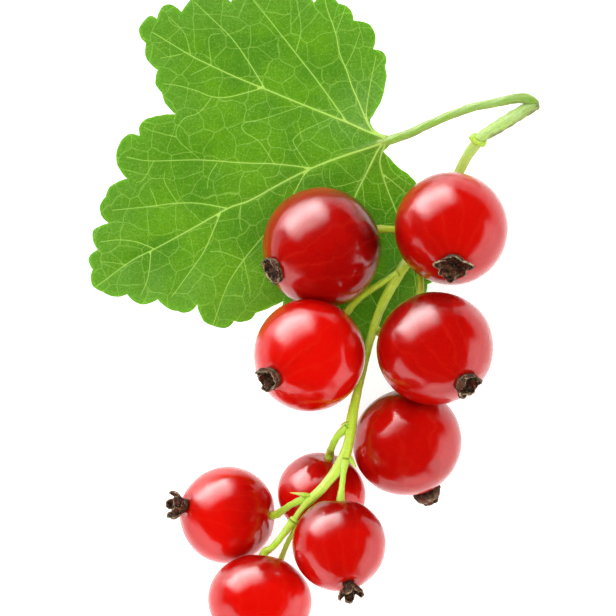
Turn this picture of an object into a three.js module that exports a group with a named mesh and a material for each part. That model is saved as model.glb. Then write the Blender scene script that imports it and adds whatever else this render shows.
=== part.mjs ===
// A sprig of redcurrants lying on a flat surface, in millimetres, +Z up.
// A short spur shoot carries one leaf on its petiole and one strig: a main stem with nine
// berries, each on its own pedicel and each ending in a dried calyx. One more pedicel is bare.
// X runs from the leaf's tip towards the spur, Y from the last berry towards the spur.
import * as THREE from "three";
import { mergeVertices } from "three/addons/utils/BufferGeometryUtils.js";

// ---- driving dimensions ----------------------------------------------------------------
const PIECE_GAP = 0.06; // clearance left between two pieces that touch
const LEAF_THICKNESS = 0.3;
const LEAF_RISE = 2.5; // height of the blade's foot, where the petiole meets it
const LEAF_RISE_REACH = 8.5; // distance over which the blade comes down from its foot
const MARGIN_LIFT = 0.9; // how far the blade's waves lift its margin
const DIMPLE_DEPTH = 0.32; // hollow of a berry round its pedicel
const DIMPLE_WIDTH = 1.1;
const CALYX_NECK = 0.65; // radius of a calyx where it leaves the berry, over its lip's

const BERRY_SEGMENTS = 20;
const BERRY_RINGS = 12;
const STEM_SIDES = 8;
const PEDICEL_SIDES = 6;

const UP = new THREE.Vector3(0, 1, 0); // axis of a lathe before it is turned
const vec = ([x, y, z]) => new THREE.Vector3(x, y, z);

// ---- materials -------------------------------------------------------------------------
const material = (color, roughness) =>
  new THREE.MeshStandardMaterial({ color, roughness, metalness: 0 });
const berrySkin = material(0xc40d10, 0.18);
const driedCalyx = material(0x2f2417, 0.85);
const stemGreen = material(0x9fbf3c, 0.5);
const barkGreen = material(0x8fb355, 0.55);
const leafGreen = material(0x5fa31c, 0.55);
const bractGreen = material(0xb6d64a, 0.5);

// ---- layout ----------------------------------------------------------------------------
// A berry: centre, equatorial radius, pole-to-pole height over its diameter, the directions in
// which its pedicel and its calyx stand out of it, and the calyx's lip radius and length.
const BERRIES = [
  {
    at: [1.25, 6.27, 6.4], radius: 5.95, tall: 0.97, stalk: [0.93, 0.27, -0.22],
    calyx: [-0.79, -0.37, 0.49], lipRadius: 1.4, calyxLength: 1,
  },
  {
    at: [14.3, 7.95, 8.2], radius: 5.6, tall: 0.98, stalk: [-0.03, 0.67, -0.74],
    calyx: [0.01, -0.62, 0.78], lipRadius: 2, calyxLength: 1,
  },
  {
    at: [0.15, -4.7, 9.98], radius: 5.53, tall: 0.98, stalk: [0.55, 0.62, -0.56],
    calyx: [-0.65, -0.38, 0.66], lipRadius: 1.4, calyxLength: 1.1,
  },
  {
    at: [12.65, -4.03, 10.5], radius: 5.72, tall: 0.95, stalk: [-0.26, 0.9, -0.34],
    calyx: [0.51, -0.58, 0.64], lipRadius: 1.3, calyxLength: 1.2,
  },
  {
    at: [10.04, -13.66, 5.37], radius: 5.37, tall: 0.96, stalk: [-0.1, 0.93, -0.35],
    calyx: [0.35, -0.88, -0.32], lipRadius: 1.4, calyxLength: 1.3,
  },
  {
    at: [1.34, -18.72, 4.28], radius: 4.33, tall: 0.92, stalk: [0.18, 0.84, 0.51],
    calyx: [-0.2, -0.8, -0.5], lipRadius: 1.2, calyxLength: 1.2,
  },
  {
    at: [-8.08, -20.9, 4.72], radius: 4.72, tall: 0.98, stalk: [0.97, 0.02, 0.25],
    calyx: [-0.88, 0.2, 0.42], lipRadius: 1.3, calyxLength: 1.4,
  },
  {
    at: [3.08, -23.52, 11.7], radius: 4.57, tall: 0.98, stalk: [0.04, 0.95, 0.3],
    calyx: [0.21, -0.84, 0.5], lipRadius: 1.2, calyxLength: 1.3,
  },
  {
    at: [-4.84, -28.96, 9.4], radius: 5.14, tall: 0.87, stalk: [0.1, 0.97, -0.2],
    calyx: [-0.08, -0.95, 0.25], lipRadius: 1.3, calyxLength: 1.3,
  },
];

// The main stem, from the bud collar to where the last two pedicels part: place and radius.
const MAIN_STEM = [
  [[17.4, 17.2, 2.9], 0.56],
  [[16.2, 15.5, 2.55], 0.54],
  [[15.2, 13.6, 2.25], 0.52],
  [[14.1, 11.3, 2.05], 0.5],
  [[12.2, 8.0, 2.05], 0.5],
  [[10.2, 5.1, 2.7], 0.54],
  [[8.7, 2.6, 3.8], 0.52],
  [[7.3, 0.0, 5.0], 0.45],
  [[6.4, -2.7, 6.2], 0.42],
  [[5.7, -5.4, 7.2], 0.38],
  [[5.0, -8.2, 8.0], 0.4],
  [[4.4, -11.0, 8.7], 0.5],
  [[4.1, -13.1, 9.1], 0.52],
  [[3.4, -15.3, 9.4], 0.5],
  [[1.75, -17.6, 9.5], 0.44],
  [[0.25, -19.1, 9.45], 0.42],
  [[-0.75, -20.2, 9.35], 0.3],
  [[-1.55, -21.4, 9.25], 0.28],
];

// The spur shoot, from its cut heel to the bud collar.
const SPUR_SHOOT = [
  [[22.9, 20.4, 3.3], 0.4],
  [[21.9, 19.95, 3.3], 0.68],
  [[20.2, 18.95, 3.2], 0.72],
  [[17.75, 17.5, 2.95], 0.62],
];

// The petiole, from the spur shoot's heel to the foot of the blade.
const PETIOLE = [
  [[22.35, 21.15, 3.5], 0.42],
  [[21.3, 21.2, 3.7], 0.5],
  [[19.3, 20.75, 3.8], 0.42],
  [[16.4, 20.15, 3.7], 0.41],
  [[13.2, 18.95, 3.4], 0.4],
  [[10.2, 17.6, 3.1], 0.4],
  [[8.6, 17.0, 2.95], 0.48],
];

// Routes of the pedicels, from just off the main stem towards the berry, which adds the end.
const PEDICEL_RADIUS = 0.33;
const PEDICEL_FLARE = 1.45; // widening at both ends
const PEDICEL_ROUTES = [
  [[11.15, 7.35, 2.85], [10.4, 7.6, 3.4], [9.2, 7.8, 4.6]],
  [[14.6, 12.25, 3.0], [14.25, 12.1, 3.3]],
  [[7.7, 2.7, 4.15], [6.7, 2.05, 4.9], [5.2, 1.0, 5.9]],
  [[10.65, 4.6, 3.4], [11.1, 3.9, 4.5], [11.25, 3.0, 5.9], [11.3, 2.1, 7.2]],
  [[7.05, -2.35, 5.75], [7.7, -2.9, 5.0], [8.7, -4.4, 4.1], [9.3, -6.4, 3.5]],
  [[3.3, -12.25, 9.1], [2.9, -12.8, 9.0], [2.5, -13.7, 8.4]],
  [[-0.75, -19.2, 9.05], [-1.4, -19.5, 8.55], [-2.1, -19.95, 7.7]],
  [[3.6, -15.75, 10.2], [3.5, -16.6, 11.0], [3.35, -17.8, 12.05]],
  [[-1.95, -22.0, 9.2], [-2.8, -23.1, 9.1], [-3.7, -24.0, 8.9]],
];
const BARE_PEDICEL = [
  [[-1.4, -22.3, 8.6], 0.26],
  [[-1.95, -23.3, 7.9], 0.25],
  [[-2.4, -24.4, 6.6], 0.27],
  [[-2.8, -25.5, 5.3], 0.3],
];

// Bracts: foot, tip, half width.
const BRACTS = {
  bract_upper: [[3.85, -11.6, 9.35], [3.3, -11.9, 9.9], 0.2],
  bract_middle: [[4.15, -15.05, 9.2], [4.75, -16.0, 9.15], 0.28],
  bract_lower: [[-0.2, -18.8, 9.85], [-1.75, -18.6, 10.1], 0.3],
};

// The blade's margin as notches between its rounded teeth, clockwise from above, from the
// lower side of its foot. The third number is how far the tooth after that notch bulges, over
// the distance to the next notch.
const MARGIN = [
  [7.6, 15.8, 0], [9.3, 14.1, 0.05], [11, 12.6, 0.16], [12.6, 9.4, 0.2], [13.2, 6.4, 0.2],
  [13, 4.1, 0.25], [12.1, 2.4, 0.2], [10.5, 0.6, 0.22], [8.4, -0.8, 0.22], [6.5, -2.8, 0.2],
  [5.4, -5.3, 0.24], [4.3, -7.6, 0.26], [2.2, -9.1, 0.3], [-0.2, -9, 0.28], [-1.6, -6.9, 0.22],
  [-2.4, -4.3, 0.14], [-2.5, -1.7, 0.06], [-2.5, 0.7, 0.03], [-5.3, -0.5, 0.2], [-7.5, -1.3, 0.2],
  [-8.9, -2, 0.2], [-11.2, 0.4, 0.24], [-13.2, -0.3, 0.13], [-15.2, 0.9, 0.26], [-18.3, 1.4, 0.16],
  [-20.7, 1.6, 0.3], [-21.8, 3.9, 0.33], [-21.3, 5.9, 0.38], [-20.2, 8.6, 0.27],
  [-20.5, 11.3, 0.17], [-18.3, 13.1, 0.19], [-19.1, 16.6, 0.26], [-17, 17.4, 0.3],
  [-15.8, 19.3, 0.05], [-13.4, 19.6, 0.08], [-14.8, 21.8, 0.19], [-15.2, 24.1, 0.2],
  [-16.4, 26.8, 0.28], [-16.5, 29.2, 0.28], [-15.3, 29.3, 0.44], [-12.8, 30, 0.3],
  [-7.8, 31, 0.26], [-3.1, 32.1, 0.24], [0.6, 30.9, 0.32], [3.1, 30.8, 0.22], [4.6, 29.1, 0.33],
  [6.6, 26.2, 0.35], [7.8, 24.5, 0.08], [7.3, 20.7, 0.04], [6.3, 19.1, -0.12], [6.7, 18, -0.1],
  [8.3, 17.4, 0], [8.3, 16.5, 0],
];
const LEAF_CENTRE = [-0.8, 14.0]; // every point of the margin is in plain sight from here
const LEAF_FOOT = [7.9, 16.95];
const LEAF_RINGS = 5;
const POINTS_PER_TOOTH = 3;

// ---- shapes ----------------------------------------------------------------------------
// Closes a stack of rings, each an array of the same number of points, with a fan at each end.
function loft(rings) {
  const sides = rings[0].length;
  const positions = [];
  const face = (...points) => points.forEach((p) => positions.push(p.x, p.y, p.z));
  const middle = (ring) =>
    ring.reduce((sum, p) => sum.add(p), new THREE.Vector3()).divideScalar(sides);
  rings.slice(1).forEach((upper, i) => {
    const lower = rings[i];
    for (let k = 0; k < sides; k++) {
      const next = (k + 1) % sides;
      face(lower[k], lower[next], upper[next]);
      face(lower[k], upper[next], upper[k]);
    }
  });
  const first = rings[0];
  const last = rings.at(-1);
  const foot = middle(first);
  const top = middle(last);
  for (let k = 0; k < sides; k++) {
    const next = (k + 1) % sides;
    face(foot, first[next], first[k]);
    face(top, last[k], last[next]);
  }
  const geometry = new THREE.BufferGeometry();
  geometry.setAttribute("position", new THREE.Float32BufferAttribute(positions, 3));
  return mergeVertices(geometry, 1e-4);
}

// A round stem whose radius changes along a smooth curve through its stations.
function stemGeometry(stations, steps, sides) {
  const curve = new THREE.CatmullRomCurve3(stations.map(([place]) => vec(place)), false, "centripetal");
  const radii = stations.map(([, radius]) => radius);
  const frames = curve.computeFrenetFrames(steps, false);
  const rings = [];
  for (let i = 0; i <= steps; i++) {
    const t = i / steps;
    const along = curve.getUtoTmapping(t) * (radii.length - 1);
    const station = Math.min(Math.floor(along), radii.length - 2);
    const radius = THREE.MathUtils.lerp(radii[station], radii[station + 1], along - station);
    const centre = curve.getPointAt(t);
    const ring = [];
    for (let k = 0; k < sides; k++) {
      const angle = (2 * Math.PI * k) / sides;
      ring.push(
        centre
          .clone()
          .addScaledVector(frames.normals[i], radius * Math.cos(angle))
          .addScaledVector(frames.binormals[i], radius * Math.sin(angle)),
      );
    }
    rings.push(ring);
  }
  return loft(rings);
}

// Height of a berry's skin above its equator, at a place on the stalk side.
function stalkSideHeight(berry, offAxis) {
  const round = Math.sqrt(Math.max(0, 1 - (offAxis / berry.radius) ** 2));
  const dimple = DIMPLE_DEPTH * Math.exp(-((offAxis / DIMPLE_WIDTH) ** 2));
  return berry.radius * berry.tall * round - dimple;
}

// A berry as a lathe about +Y, its calyx end up.
function berryGeometry(berry) {
  const profile = [];
  for (let i = 0; i <= BERRY_RINGS; i++) {
    const angle = (Math.PI * i) / BERRY_RINGS;
    const offAxis = i % BERRY_RINGS === 0 ? 0 : berry.radius * Math.sin(angle);
    const height = angle < Math.PI / 2
      ? -stalkSideHeight(berry, offAxis)
      : -berry.radius * berry.tall * Math.cos(angle);
    profile.push(new THREE.Vector2(offAxis, height));
  }
  return new THREE.LatheGeometry(profile, BERRY_SEGMENTS);
}

// A dried calyx as a lathe about +Y: a short cup with five shrivelled lobes round its lip.
function calyxGeometry({ lipRadius, calyxLength }) {
  const LOBES = 5;
  const sides = 2 * LOBES;
  const stations = [
    [0, 0.8],
    [0.35, 1],
    [0.75, 0.9],
    [1, 0.35],
  ];
  const rings = stations.map(([up, wide]) => {
    const ring = [];
    for (let k = 0; k < sides; k++) {
      const onLobe = k % 2 === 0;
      const flare = lipRadius * THREE.MathUtils.lerp(CALYX_NECK, 1, up);
      const radius = flare * wide * (onLobe ? 1 : 0.72);
      const angle = (-2 * Math.PI * k) / sides;
      const height = calyxLength * up * (onLobe ? 1 : 0.85);
      ring.push(new THREE.Vector3(radius * Math.cos(angle), height, radius * Math.sin(angle)));
    }
    return ring;
  });
  return loft(rings);
}

// A ring of bud scales round the foot of the main stem.
function collarGeometry() {
  const inner = 0.72;
  const outer = 1.05;
  const half = 0.22;
  const chamfer = 0.09;
  const profile = [
    [inner, -half],
    [outer - chamfer, -half],
    [outer, -half + chamfer],
    [outer, half - chamfer],
    [outer - chamfer, half],
    [inner, half],
    [inner, -half],
  ];
  return new THREE.LatheGeometry(profile.map(([r, h]) => new THREE.Vector2(r, h)), 14);
}

// A pointed scale from its foot to its tip.
function bractGeometry([foot, tip, halfWidth]) {
  const start = vec(foot);
  const end = vec(tip);
  const along = end.clone().sub(start).normalize();
  const across = new THREE.Vector3(0, 0, 1).cross(along).normalize();
  const off = along.clone().cross(across);
  const stations = [
    [0, 0.8],
    [0.4, 1],
    [1, 0.12],
  ];
  const rings = stations.map(([t, wide]) => {
    const centre = start.clone().lerp(end, t);
    return [0, 1, 2, 3, 4, 5].map((k) => {
      const angle = (Math.PI * k) / 3;
      return centre
        .clone()
        .addScaledVector(across, halfWidth * wide * Math.cos(angle))
        .addScaledVector(off, 0.45 * halfWidth * wide * Math.sin(angle));
    });
  });
  return loft(rings);
}

// The blade's margin as points: each tooth is a round bulge between two notches.
function marginPoints() {
  const points = [];
  MARGIN.forEach(([x, y, bulge], i) => {
    const [nextX, nextY] = MARGIN[(i + 1) % MARGIN.length];
    for (let k = 0; k < POINTS_PER_TOOTH; k++) {
      const t = k / POINTS_PER_TOOTH;
      const out = bulge * Math.sin(Math.PI * t);
      points.push([
        x + (nextX - x) * t + out * (nextY - y) * -1,
        y + (nextY - y) * t + out * (nextX - x),
      ]);
    }
  });
  return points;
}

// Height of the blade's underside. It lies flat on the surface in its middle, climbs to its
// foot, and waves clear of the surface at its margin.
function bladeHeight(x, y, share) {
  const fromFoot = Math.hypot(x - LEAF_FOOT[0], y - LEAF_FOOT[1]);
  const climb = LEAF_RISE * Math.max(0, 1 - fromFoot / LEAF_RISE_REACH) ** 1.6;
  const angle = Math.atan2(y - LEAF_CENTRE[1], x - LEAF_CENTRE[0]);
  const wave = 0.5 + 0.5 * Math.sin(5 * angle + 0.6);
  const lift = MARGIN_LIFT * wave * Math.max(0, (share - 0.6) / 0.4) ** 1.5;
  return climb + (fromFoot > LEAF_RISE_REACH ? lift : 0);
}

// The blade: rings of points shrunk from the margin to its centre, on both faces, upper face first
// because the margin runs clockwise.
function bladeGeometry() {
  const margin = marginPoints();
  const face = (offset) =>
    Array.from({ length: LEAF_RINGS }, (_, j) => {
      const share = (j + 1) / LEAF_RINGS;
      return margin.map(([x, y]) => {
        const px = LEAF_CENTRE[0] + (x - LEAF_CENTRE[0]) * share;
        const py = LEAF_CENTRE[1] + (y - LEAF_CENTRE[1]) * share;
        return new THREE.Vector3(px, py, bladeHeight(px, py, share) + offset);
      });
    });
  return loft([...face(LEAF_THICKNESS), ...face(0).reverse()]);
}

// ---- assembly --------------------------------------------------------------------------
const sprig = new THREE.Group();

function addMesh(name, geometry, surface) {
  const mesh = new THREE.Mesh(geometry, surface);
  mesh.name = name;
  sprig.add(mesh);
  return mesh;
}

BERRIES.forEach((berry, i) => {
  const number = i + 1;
  const centre = vec(berry.at);
  const calyxWay = vec(berry.calyx).normalize();
  const stalkWay = vec(berry.stalk).normalize();
  const turn = new THREE.Quaternion().setFromUnitVectors(UP, stalkWay.clone().negate());

  const skin = addMesh(`berry_${number}`, berryGeometry(berry), berrySkin);
  skin.position.copy(centre);
  skin.quaternion.copy(turn);

  // The calyx stands on the skin where its own direction leaves the berry.
  const lean = calyxWay.dot(stalkWay.clone().negate());
  const offAxis = Math.sqrt(Math.max(0, 1 - lean * lean));
  const skinAt = berry.radius / Math.hypot(offAxis, lean / berry.tall);
  const calyx = addMesh(`calyx_${number}`, calyxGeometry(berry), driedCalyx);
  calyx.position.copy(centre).addScaledVector(calyxWay, skinAt + PIECE_GAP);
  calyx.quaternion.setFromUnitVectors(UP, calyxWay);

  // The pedicel ends in the dimple.
  const dimpleFloor = stalkSideHeight(berry, 0) + PIECE_GAP;
  const seat = centre.clone().addScaledVector(stalkWay, dimpleFloor);
  const approach = centre.clone().addScaledVector(stalkWay, dimpleFloor + 0.8);
  const route = [...PEDICEL_ROUTES[i], approach.toArray(), seat.toArray()];
  const stations = route.map((place, k) => {
    const atEnd = k === 0 || k === route.length - 1;
    return [place, PEDICEL_RADIUS * (atEnd ? PEDICEL_FLARE : 1)];
  });
  addMesh(`pedicel_${number}`, stemGeometry(stations, 7, PEDICEL_SIDES), stemGreen);
});

addMesh("pedicel_bare", stemGeometry(BARE_PEDICEL, 5, PEDICEL_SIDES), stemGreen);
addMesh("main_stem", stemGeometry(MAIN_STEM, 30, STEM_SIDES), stemGreen);
addMesh("spur_shoot", stemGeometry(SPUR_SHOOT, 7, STEM_SIDES), barkGreen);
addMesh("leaf_petiole", stemGeometry(PETIOLE, 16, STEM_SIDES), barkGreen);
addMesh("leaf_blade", bladeGeometry(), leafGreen);

const stemFoot = vec(MAIN_STEM[0][0]);
const stemWay = vec(MAIN_STEM[1][0]).sub(stemFoot).normalize();
const collar = addMesh("bud_collar", collarGeometry(), bractGreen);
collar.position.copy(stemFoot).addScaledVector(stemWay, 0.35);
collar.quaternion.setFromUnitVectors(UP, stemWay);

Object.entries(BRACTS).forEach(([name, bract]) => {
  addMesh(name, bractGeometry(bract), bractGreen);
});

// The frame's origin is the middle of the sprig's underside.
sprig.updateMatrixWorld(true);
const bounds = new THREE.Box3().setFromObject(sprig, true);
const middle = bounds.getCenter(new THREE.Vector3());
sprig.position.set(-middle.x, -middle.y, -bounds.min.z);

export default sprig;
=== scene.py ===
"""The looks of a cut sprig of redcurrants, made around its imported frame.

Nine glossy berries sit on their pedicels along one green strig. The strig and one lobed leaf grow
from a short spur shoot, and the whole sprig lies on a pale surface. Sizes and places are written in
the sprig's own millimetres and turned into the frame's metres by Layout.
"""

import logging
import math
import random
from collections.abc import Callable, Iterable, Sequence
from dataclasses import dataclass
from enum import Enum
from functools import cache
import bmesh
import bpy
import numpy as np
from mathutils import Matrix, Vector, noise
from mathutils.geometry import delaunay_2d_cdt


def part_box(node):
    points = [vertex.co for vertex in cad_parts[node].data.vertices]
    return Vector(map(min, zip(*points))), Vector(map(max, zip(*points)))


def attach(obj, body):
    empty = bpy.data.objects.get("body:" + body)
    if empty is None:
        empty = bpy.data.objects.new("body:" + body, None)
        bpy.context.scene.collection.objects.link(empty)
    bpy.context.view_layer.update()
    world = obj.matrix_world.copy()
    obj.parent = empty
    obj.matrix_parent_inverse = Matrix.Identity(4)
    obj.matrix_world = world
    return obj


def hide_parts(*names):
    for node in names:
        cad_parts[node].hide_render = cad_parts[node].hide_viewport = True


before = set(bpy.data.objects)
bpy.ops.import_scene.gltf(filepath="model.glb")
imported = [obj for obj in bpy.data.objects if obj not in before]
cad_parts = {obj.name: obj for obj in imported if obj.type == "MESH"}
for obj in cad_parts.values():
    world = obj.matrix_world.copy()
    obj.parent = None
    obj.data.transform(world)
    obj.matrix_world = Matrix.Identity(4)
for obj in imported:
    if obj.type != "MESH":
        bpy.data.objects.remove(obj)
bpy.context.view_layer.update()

MM = 0.001  # metres in a millimetre
BODY = "root"
SHADED_FLANK_WAY = (0.45, -0.85, -0.25)  # the way that a stalk's shaded side faces, away from the key light, where its painted shade goes
SPOTS_AT_ONCE = 2000  # how many spots of the leaf are measured together
SAME_SPOT = 1e-7  # metres, within which a vertex counts as the one that is wanted
SAME_LEVEL = 1e-6  # metres, within which a vertex counts as lying at a level

Point = tuple[float, float, float]
Spot = tuple[float, float]
Colour = tuple[float, float, float, float]
Station = tuple[Point, float]

log = logging.getLogger("redcurrants")


class Slot(Enum):
    """The record's material slots."""

    BERRY_SKIN = "berry_skin"
    DRIED_CALYX = "dried_calyx"
    STEM_GREEN = "stem_green"
    BARK_GREEN = "bark_green"
    LEAF_GREEN = "leaf_green"
    BRACT_GREEN = "bract_green"


@dataclass(frozen=True)
class Layout:
    """Turns the sprig's own millimetres into places in the frame.

    Attributes:
        shift: where the sprig's own origin lies in the frame, in metres.
    """

    shift: Vector

    @classmethod
    def from_frame(cls, berries: Sequence["Berry"]) -> "Layout":
        """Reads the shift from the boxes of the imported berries.

        Args:
            berries: the berries, whose centres are known in millimetres.

        Returns:
            The layout that puts each berry in the middle of its box.
        """
        shift = Vector()
        for berry in berries:
            low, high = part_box(berry.node)
            shift += ((low + high) / 2 - Vector(berry.at) * MM) / len(berries)
        shift.z = 0.0
        return cls(shift)

    def place(self, point: Point) -> Vector:
        """Gives a point of the sprig as a place in the frame, in metres."""
        return Vector(point) * MM + self.shift


# ---- working by hand ---------------------------------------------------------------------


class Bench:
    """One mesh object on the bench, worked on with operators in edit mode."""

    def __init__(self, name: str) -> None:
        """Takes the object that an operator has just added, and names it."""
        self.obj = bpy.context.object
        self.obj.name = name
        self.obj.data.name = name

    @staticmethod
    def clear() -> None:
        """Puts every object down, so that the next operator acts on nothing else."""
        bpy.ops.object.select_all(action="DESELECT")

    @staticmethod
    def hold(obj: bpy.types.Object) -> None:
        """Selects one object alone and makes it the active one."""
        Bench.clear()
        obj.select_set(True)
        bpy.context.view_layer.objects.active = obj

    def open(self) -> None:
        """Goes into edit mode with all of the mesh selected."""
        Bench.hold(self.obj)
        bpy.ops.object.mode_set(mode="EDIT")
        bpy.ops.mesh.select_mode(type="VERT")
        bpy.ops.mesh.select_all(action="SELECT")

    def close(self) -> None:
        """Leaves edit mode."""
        bpy.ops.object.mode_set(mode="OBJECT")

    def pick(self, test: Callable[[Vector], bool]) -> None:
        """Selects the vertices whose place passes a test, and nothing else.

        Args:
            test: says of a place in the object whether it is wanted.
        """
        mesh = bmesh.from_edit_mesh(self.obj.data)
        for face in mesh.faces:
            face.select_set(False)
        for vertex in mesh.verts:
            vertex.select_set(test(vertex.co))
        mesh.select_flush_mode()
        bmesh.update_edit_mesh(self.obj.data)

    def pull(self, way: Sequence[float], reach: float) -> None:
        """Moves what is selected, and drags what is near it along.

        Args:
            way: the move, in metres.
            reach: how far from the selection the drag is felt, in metres.
        """
        bpy.ops.transform.translate(
            value=tuple(way),
            use_proportional_edit=True,
            proportional_edit_falloff="SMOOTH",
            proportional_size=reach,
        )

    def modify(self, kind: str, **settings: object) -> None:
        """Adds a modifier, sets it and applies it.

        Args:
            kind: the modifier's type.
            **settings: its properties.
        """
        Bench.hold(self.obj)
        modifier = self.obj.modifiers.new(kind.lower(), kind)
        for key, value in settings.items():
            setattr(modifier, key, value)
        bpy.ops.object.modifier_apply(modifier=modifier.name)

    def roughen(self, size: float, depth: float, seed_shift: float = 0.0) -> None:
        """Makes the surface uneven with soft bumps.

        Args:
            size: the bumps' width, in metres.
            depth: the bumps' height from lowest to highest, in metres.
            seed_shift: moves the pattern, so that two pieces differ.
        """
        texture = bpy.data.textures.new("unevenness", "CLOUDS")
        texture.noise_scale = size
        texture.noise_depth = 2
        if seed_shift:
            self.obj.data.transform(Matrix.Translation((seed_shift, 0, 0)))
        self.modify("DISPLACE", texture=texture, strength=depth, mid_level=0.5, texture_coords="LOCAL")
        if seed_shift:
            self.obj.data.transform(Matrix.Translation((-seed_shift, 0, 0)))
        bpy.data.textures.remove(texture)

    def settle(self, turn: Matrix, place: Vector) -> None:
        """Turns the finished mesh and puts it in its place, with the object left at the origin."""
        self.obj.data.transform(Matrix.Translation(place) @ turn.to_4x4())
        self.obj.data.update()

    def smooth(self) -> None:
        """Shades the surface smoothly."""
        self.obj.data.shade_smooth()


def turn_to(way: Vector, twist: float = 0.0) -> Matrix:
    """Gives the turn that takes +Z to a direction.

    Args:
        way: the direction.
        twist: a turn about +Z that comes first, in radians.

    Returns:
        A 3 by 3 rotation matrix.
    """
    swing = Vector((0, 0, 1)).rotation_difference(way.normalized()).to_matrix()
    return swing @ Matrix.Rotation(twist, 3, "Z")


def store(mesh: bpy.types.Mesh, name: str, values: np.ndarray) -> None:
    """Writes one number or one vector for each vertex into the mesh.

    Args:
        mesh: the mesh.
        name: the attribute's name.
        values: an array of one row for each vertex.
    """
    vector = values.ndim == 2
    layer = mesh.attributes.new(name, "FLOAT_VECTOR" if vector else "FLOAT", "POINT")
    layer.data.foreach_set("vector" if vector else "value", values.astype(np.float32).ravel())


def store_facing(mesh: bpy.types.Mesh) -> None:
    """Stores how far each vertex faces up, and how far it faces the side away from the key light, which takes painted
    shade.

    Args:
        mesh: the mesh, in its place.
    """
    normals = np.empty(len(mesh.vertices) * 3)
    mesh.vertex_normals.foreach_get("vector", normals)
    normals = normals.reshape(-1, 3)
    shaded_flank = normals @ np.array(SHADED_FLANK_WAY)
    store(mesh, "facing", np.column_stack((normals[:, 2], shaded_flank, np.zeros(len(normals)))))


def places(mesh: bpy.types.Mesh) -> np.ndarray:
    """Gives the mesh's vertices as an array of places."""
    flat = np.empty(len(mesh.vertices) * 3, np.float32)
    mesh.vertices.foreach_get("co", flat)
    return flat.reshape(-1, 3).astype(float)


def hand_over(piece: bpy.types.Object, node: str) -> None:
    """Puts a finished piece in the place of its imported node.

    Args:
        piece: the finished object.
        node: the node that it stands for.
    """
    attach(piece, BODY)
    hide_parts(node)
    log.info("%s stands for %s with %d faces", piece.name, node, len(piece.data.polygons))


# ---- finishes ----------------------------------------------------------------------------


class Shader:
    """A material's node tree, written as a list of steps."""

    def __init__(self, name: str) -> None:
        """Starts an empty tree with one principled surface."""
        self.material = bpy.data.materials.new(name)
        self.material.use_nodes = True
        self.tree = self.material.node_tree
        self.tree.nodes.clear()
        self.surface = self.node("ShaderNodeBsdfPrincipled")
        output = self.node("ShaderNodeOutputMaterial")
        self.tree.links.new(self.surface.outputs[0], output.inputs["Surface"])

    def node(self, kind: str, inputs: dict | None = None, **settings: object) -> bpy.types.Node:
        """Adds a node.

        Args:
            kind: the node's type.
            inputs: sockets by name or number, with a value or another node's output.
            **settings: the node's properties.

        Returns:
            The node.
        """
        node = self.tree.nodes.new(kind)
        for key, value in settings.items():
            setattr(node, key, value)
        for key, value in (inputs or {}).items():
            self.feed(node.inputs[key], value)
        return node

    def feed(self, socket: bpy.types.NodeSocket, value: object) -> None:
        """Sets a socket, or links it where the value is another node's output."""
        if isinstance(value, bpy.types.NodeSocket):
            self.tree.links.new(value, socket)
        else:
            socket.default_value = value

    def set(self, **inputs: object) -> None:
        """Sets or links the principled surface's sockets, with _ for a space in their names."""
        for key, value in inputs.items():
            self.feed(self.surface.inputs[key.replace("_", " ")], value)

    def math(self, operation: str, a: object, b: object = 0.0, clamp: bool = False) -> bpy.types.NodeSocket:
        """Gives the result of one sum."""
        return self.node("ShaderNodeMath", {0: a, 1: b}, operation=operation, use_clamp=clamp).outputs[0]

    def spread(
        self, value: object, low: float, high: float, start: float = 0.0, end: float = 1.0
    ) -> bpy.types.NodeSocket:
        """Gives a value moved smoothly from one range to another, and held at its ends.

        Args:
            value: what is measured.
            low: the value that gives start.
            high: the value that gives end.
            start: the result at low.
            end: the result at high.

        Returns:
            The result's socket.
        """
        inputs = {"Value": value, "From Min": low, "From Max": high, "To Min": start, "To Max": end}
        node = self.node("ShaderNodeMapRange", inputs, interpolation_type="SMOOTHSTEP")
        return node.outputs[0]

    def mix(self, share: object, a: object, b: object) -> bpy.types.NodeSocket:
        """Gives two colours mixed.

        Args:
            share: how much of b there is.
            a: the first colour.
            b: the second colour.

        Returns:
            The mixed colour's socket.
        """
        node = self.node("ShaderNodeMix", data_type="RGBA", blend_type="MIX")
        self.feed(node.inputs[0], share)
        self.feed(node.inputs[6], a)
        self.feed(node.inputs[7], b)
        return node.outputs[2]

    def tint(self, colour: object, share: object, strength: float, towards: object) -> bpy.types.NodeSocket:
        """Gives a colour tinted towards another where a share from 0 to 1 says, at a given strength."""
        return self.mix(self.math("MULTIPLY", share, strength), colour, towards)

    def noise(self, size: float, detail: float = 2.0, warp: float = 0.0, place: object = None) -> bpy.types.NodeSocket:
        """Gives a soft noise.

        Args:
            size: the pattern's width, in metres.
            detail: how much finer noise is in it.
            warp: how much it is twisted.
            place: the coordinates, or None for the object's own.

        Returns:
            The noise's socket, from 0 to 1.
        """
        inputs = {
            "Vector": self.own_place() if place is None else place,
            "Scale": 1.0 / size,
            "Detail": detail,
            "Distortion": warp,
        }
        return self.node("ShaderNodeTexNoise", inputs).outputs["Fac"]

    def own_place(self) -> bpy.types.NodeSocket:
        """Gives the object's own coordinates."""
        return self.node("ShaderNodeTexCoord").outputs["Object"]

    def carried(self, name: str, as_vector: bool = False) -> bpy.types.NodeSocket:
        """Gives a value that the mesh carries at each vertex."""
        node = self.node("ShaderNodeAttribute", attribute_name=name)
        return node.outputs["Vector" if as_vector else "Fac"]

    def relief(self, *layers: tuple[object, float]) -> None:
        """Gives the surface fine bumps.

        Args:
            *layers: pairs of a height from 0 to 1 and its depth in metres, coarse ones first.
        """
        normal = None
        for height, depth in layers:
            inputs = {"Height": height, "Distance": depth, "Strength": 1.0}
            if normal is not None:
                inputs["Normal"] = normal
            normal = self.node("ShaderNodeBump", inputs).outputs[0]
        self.set(Normal=normal)


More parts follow.
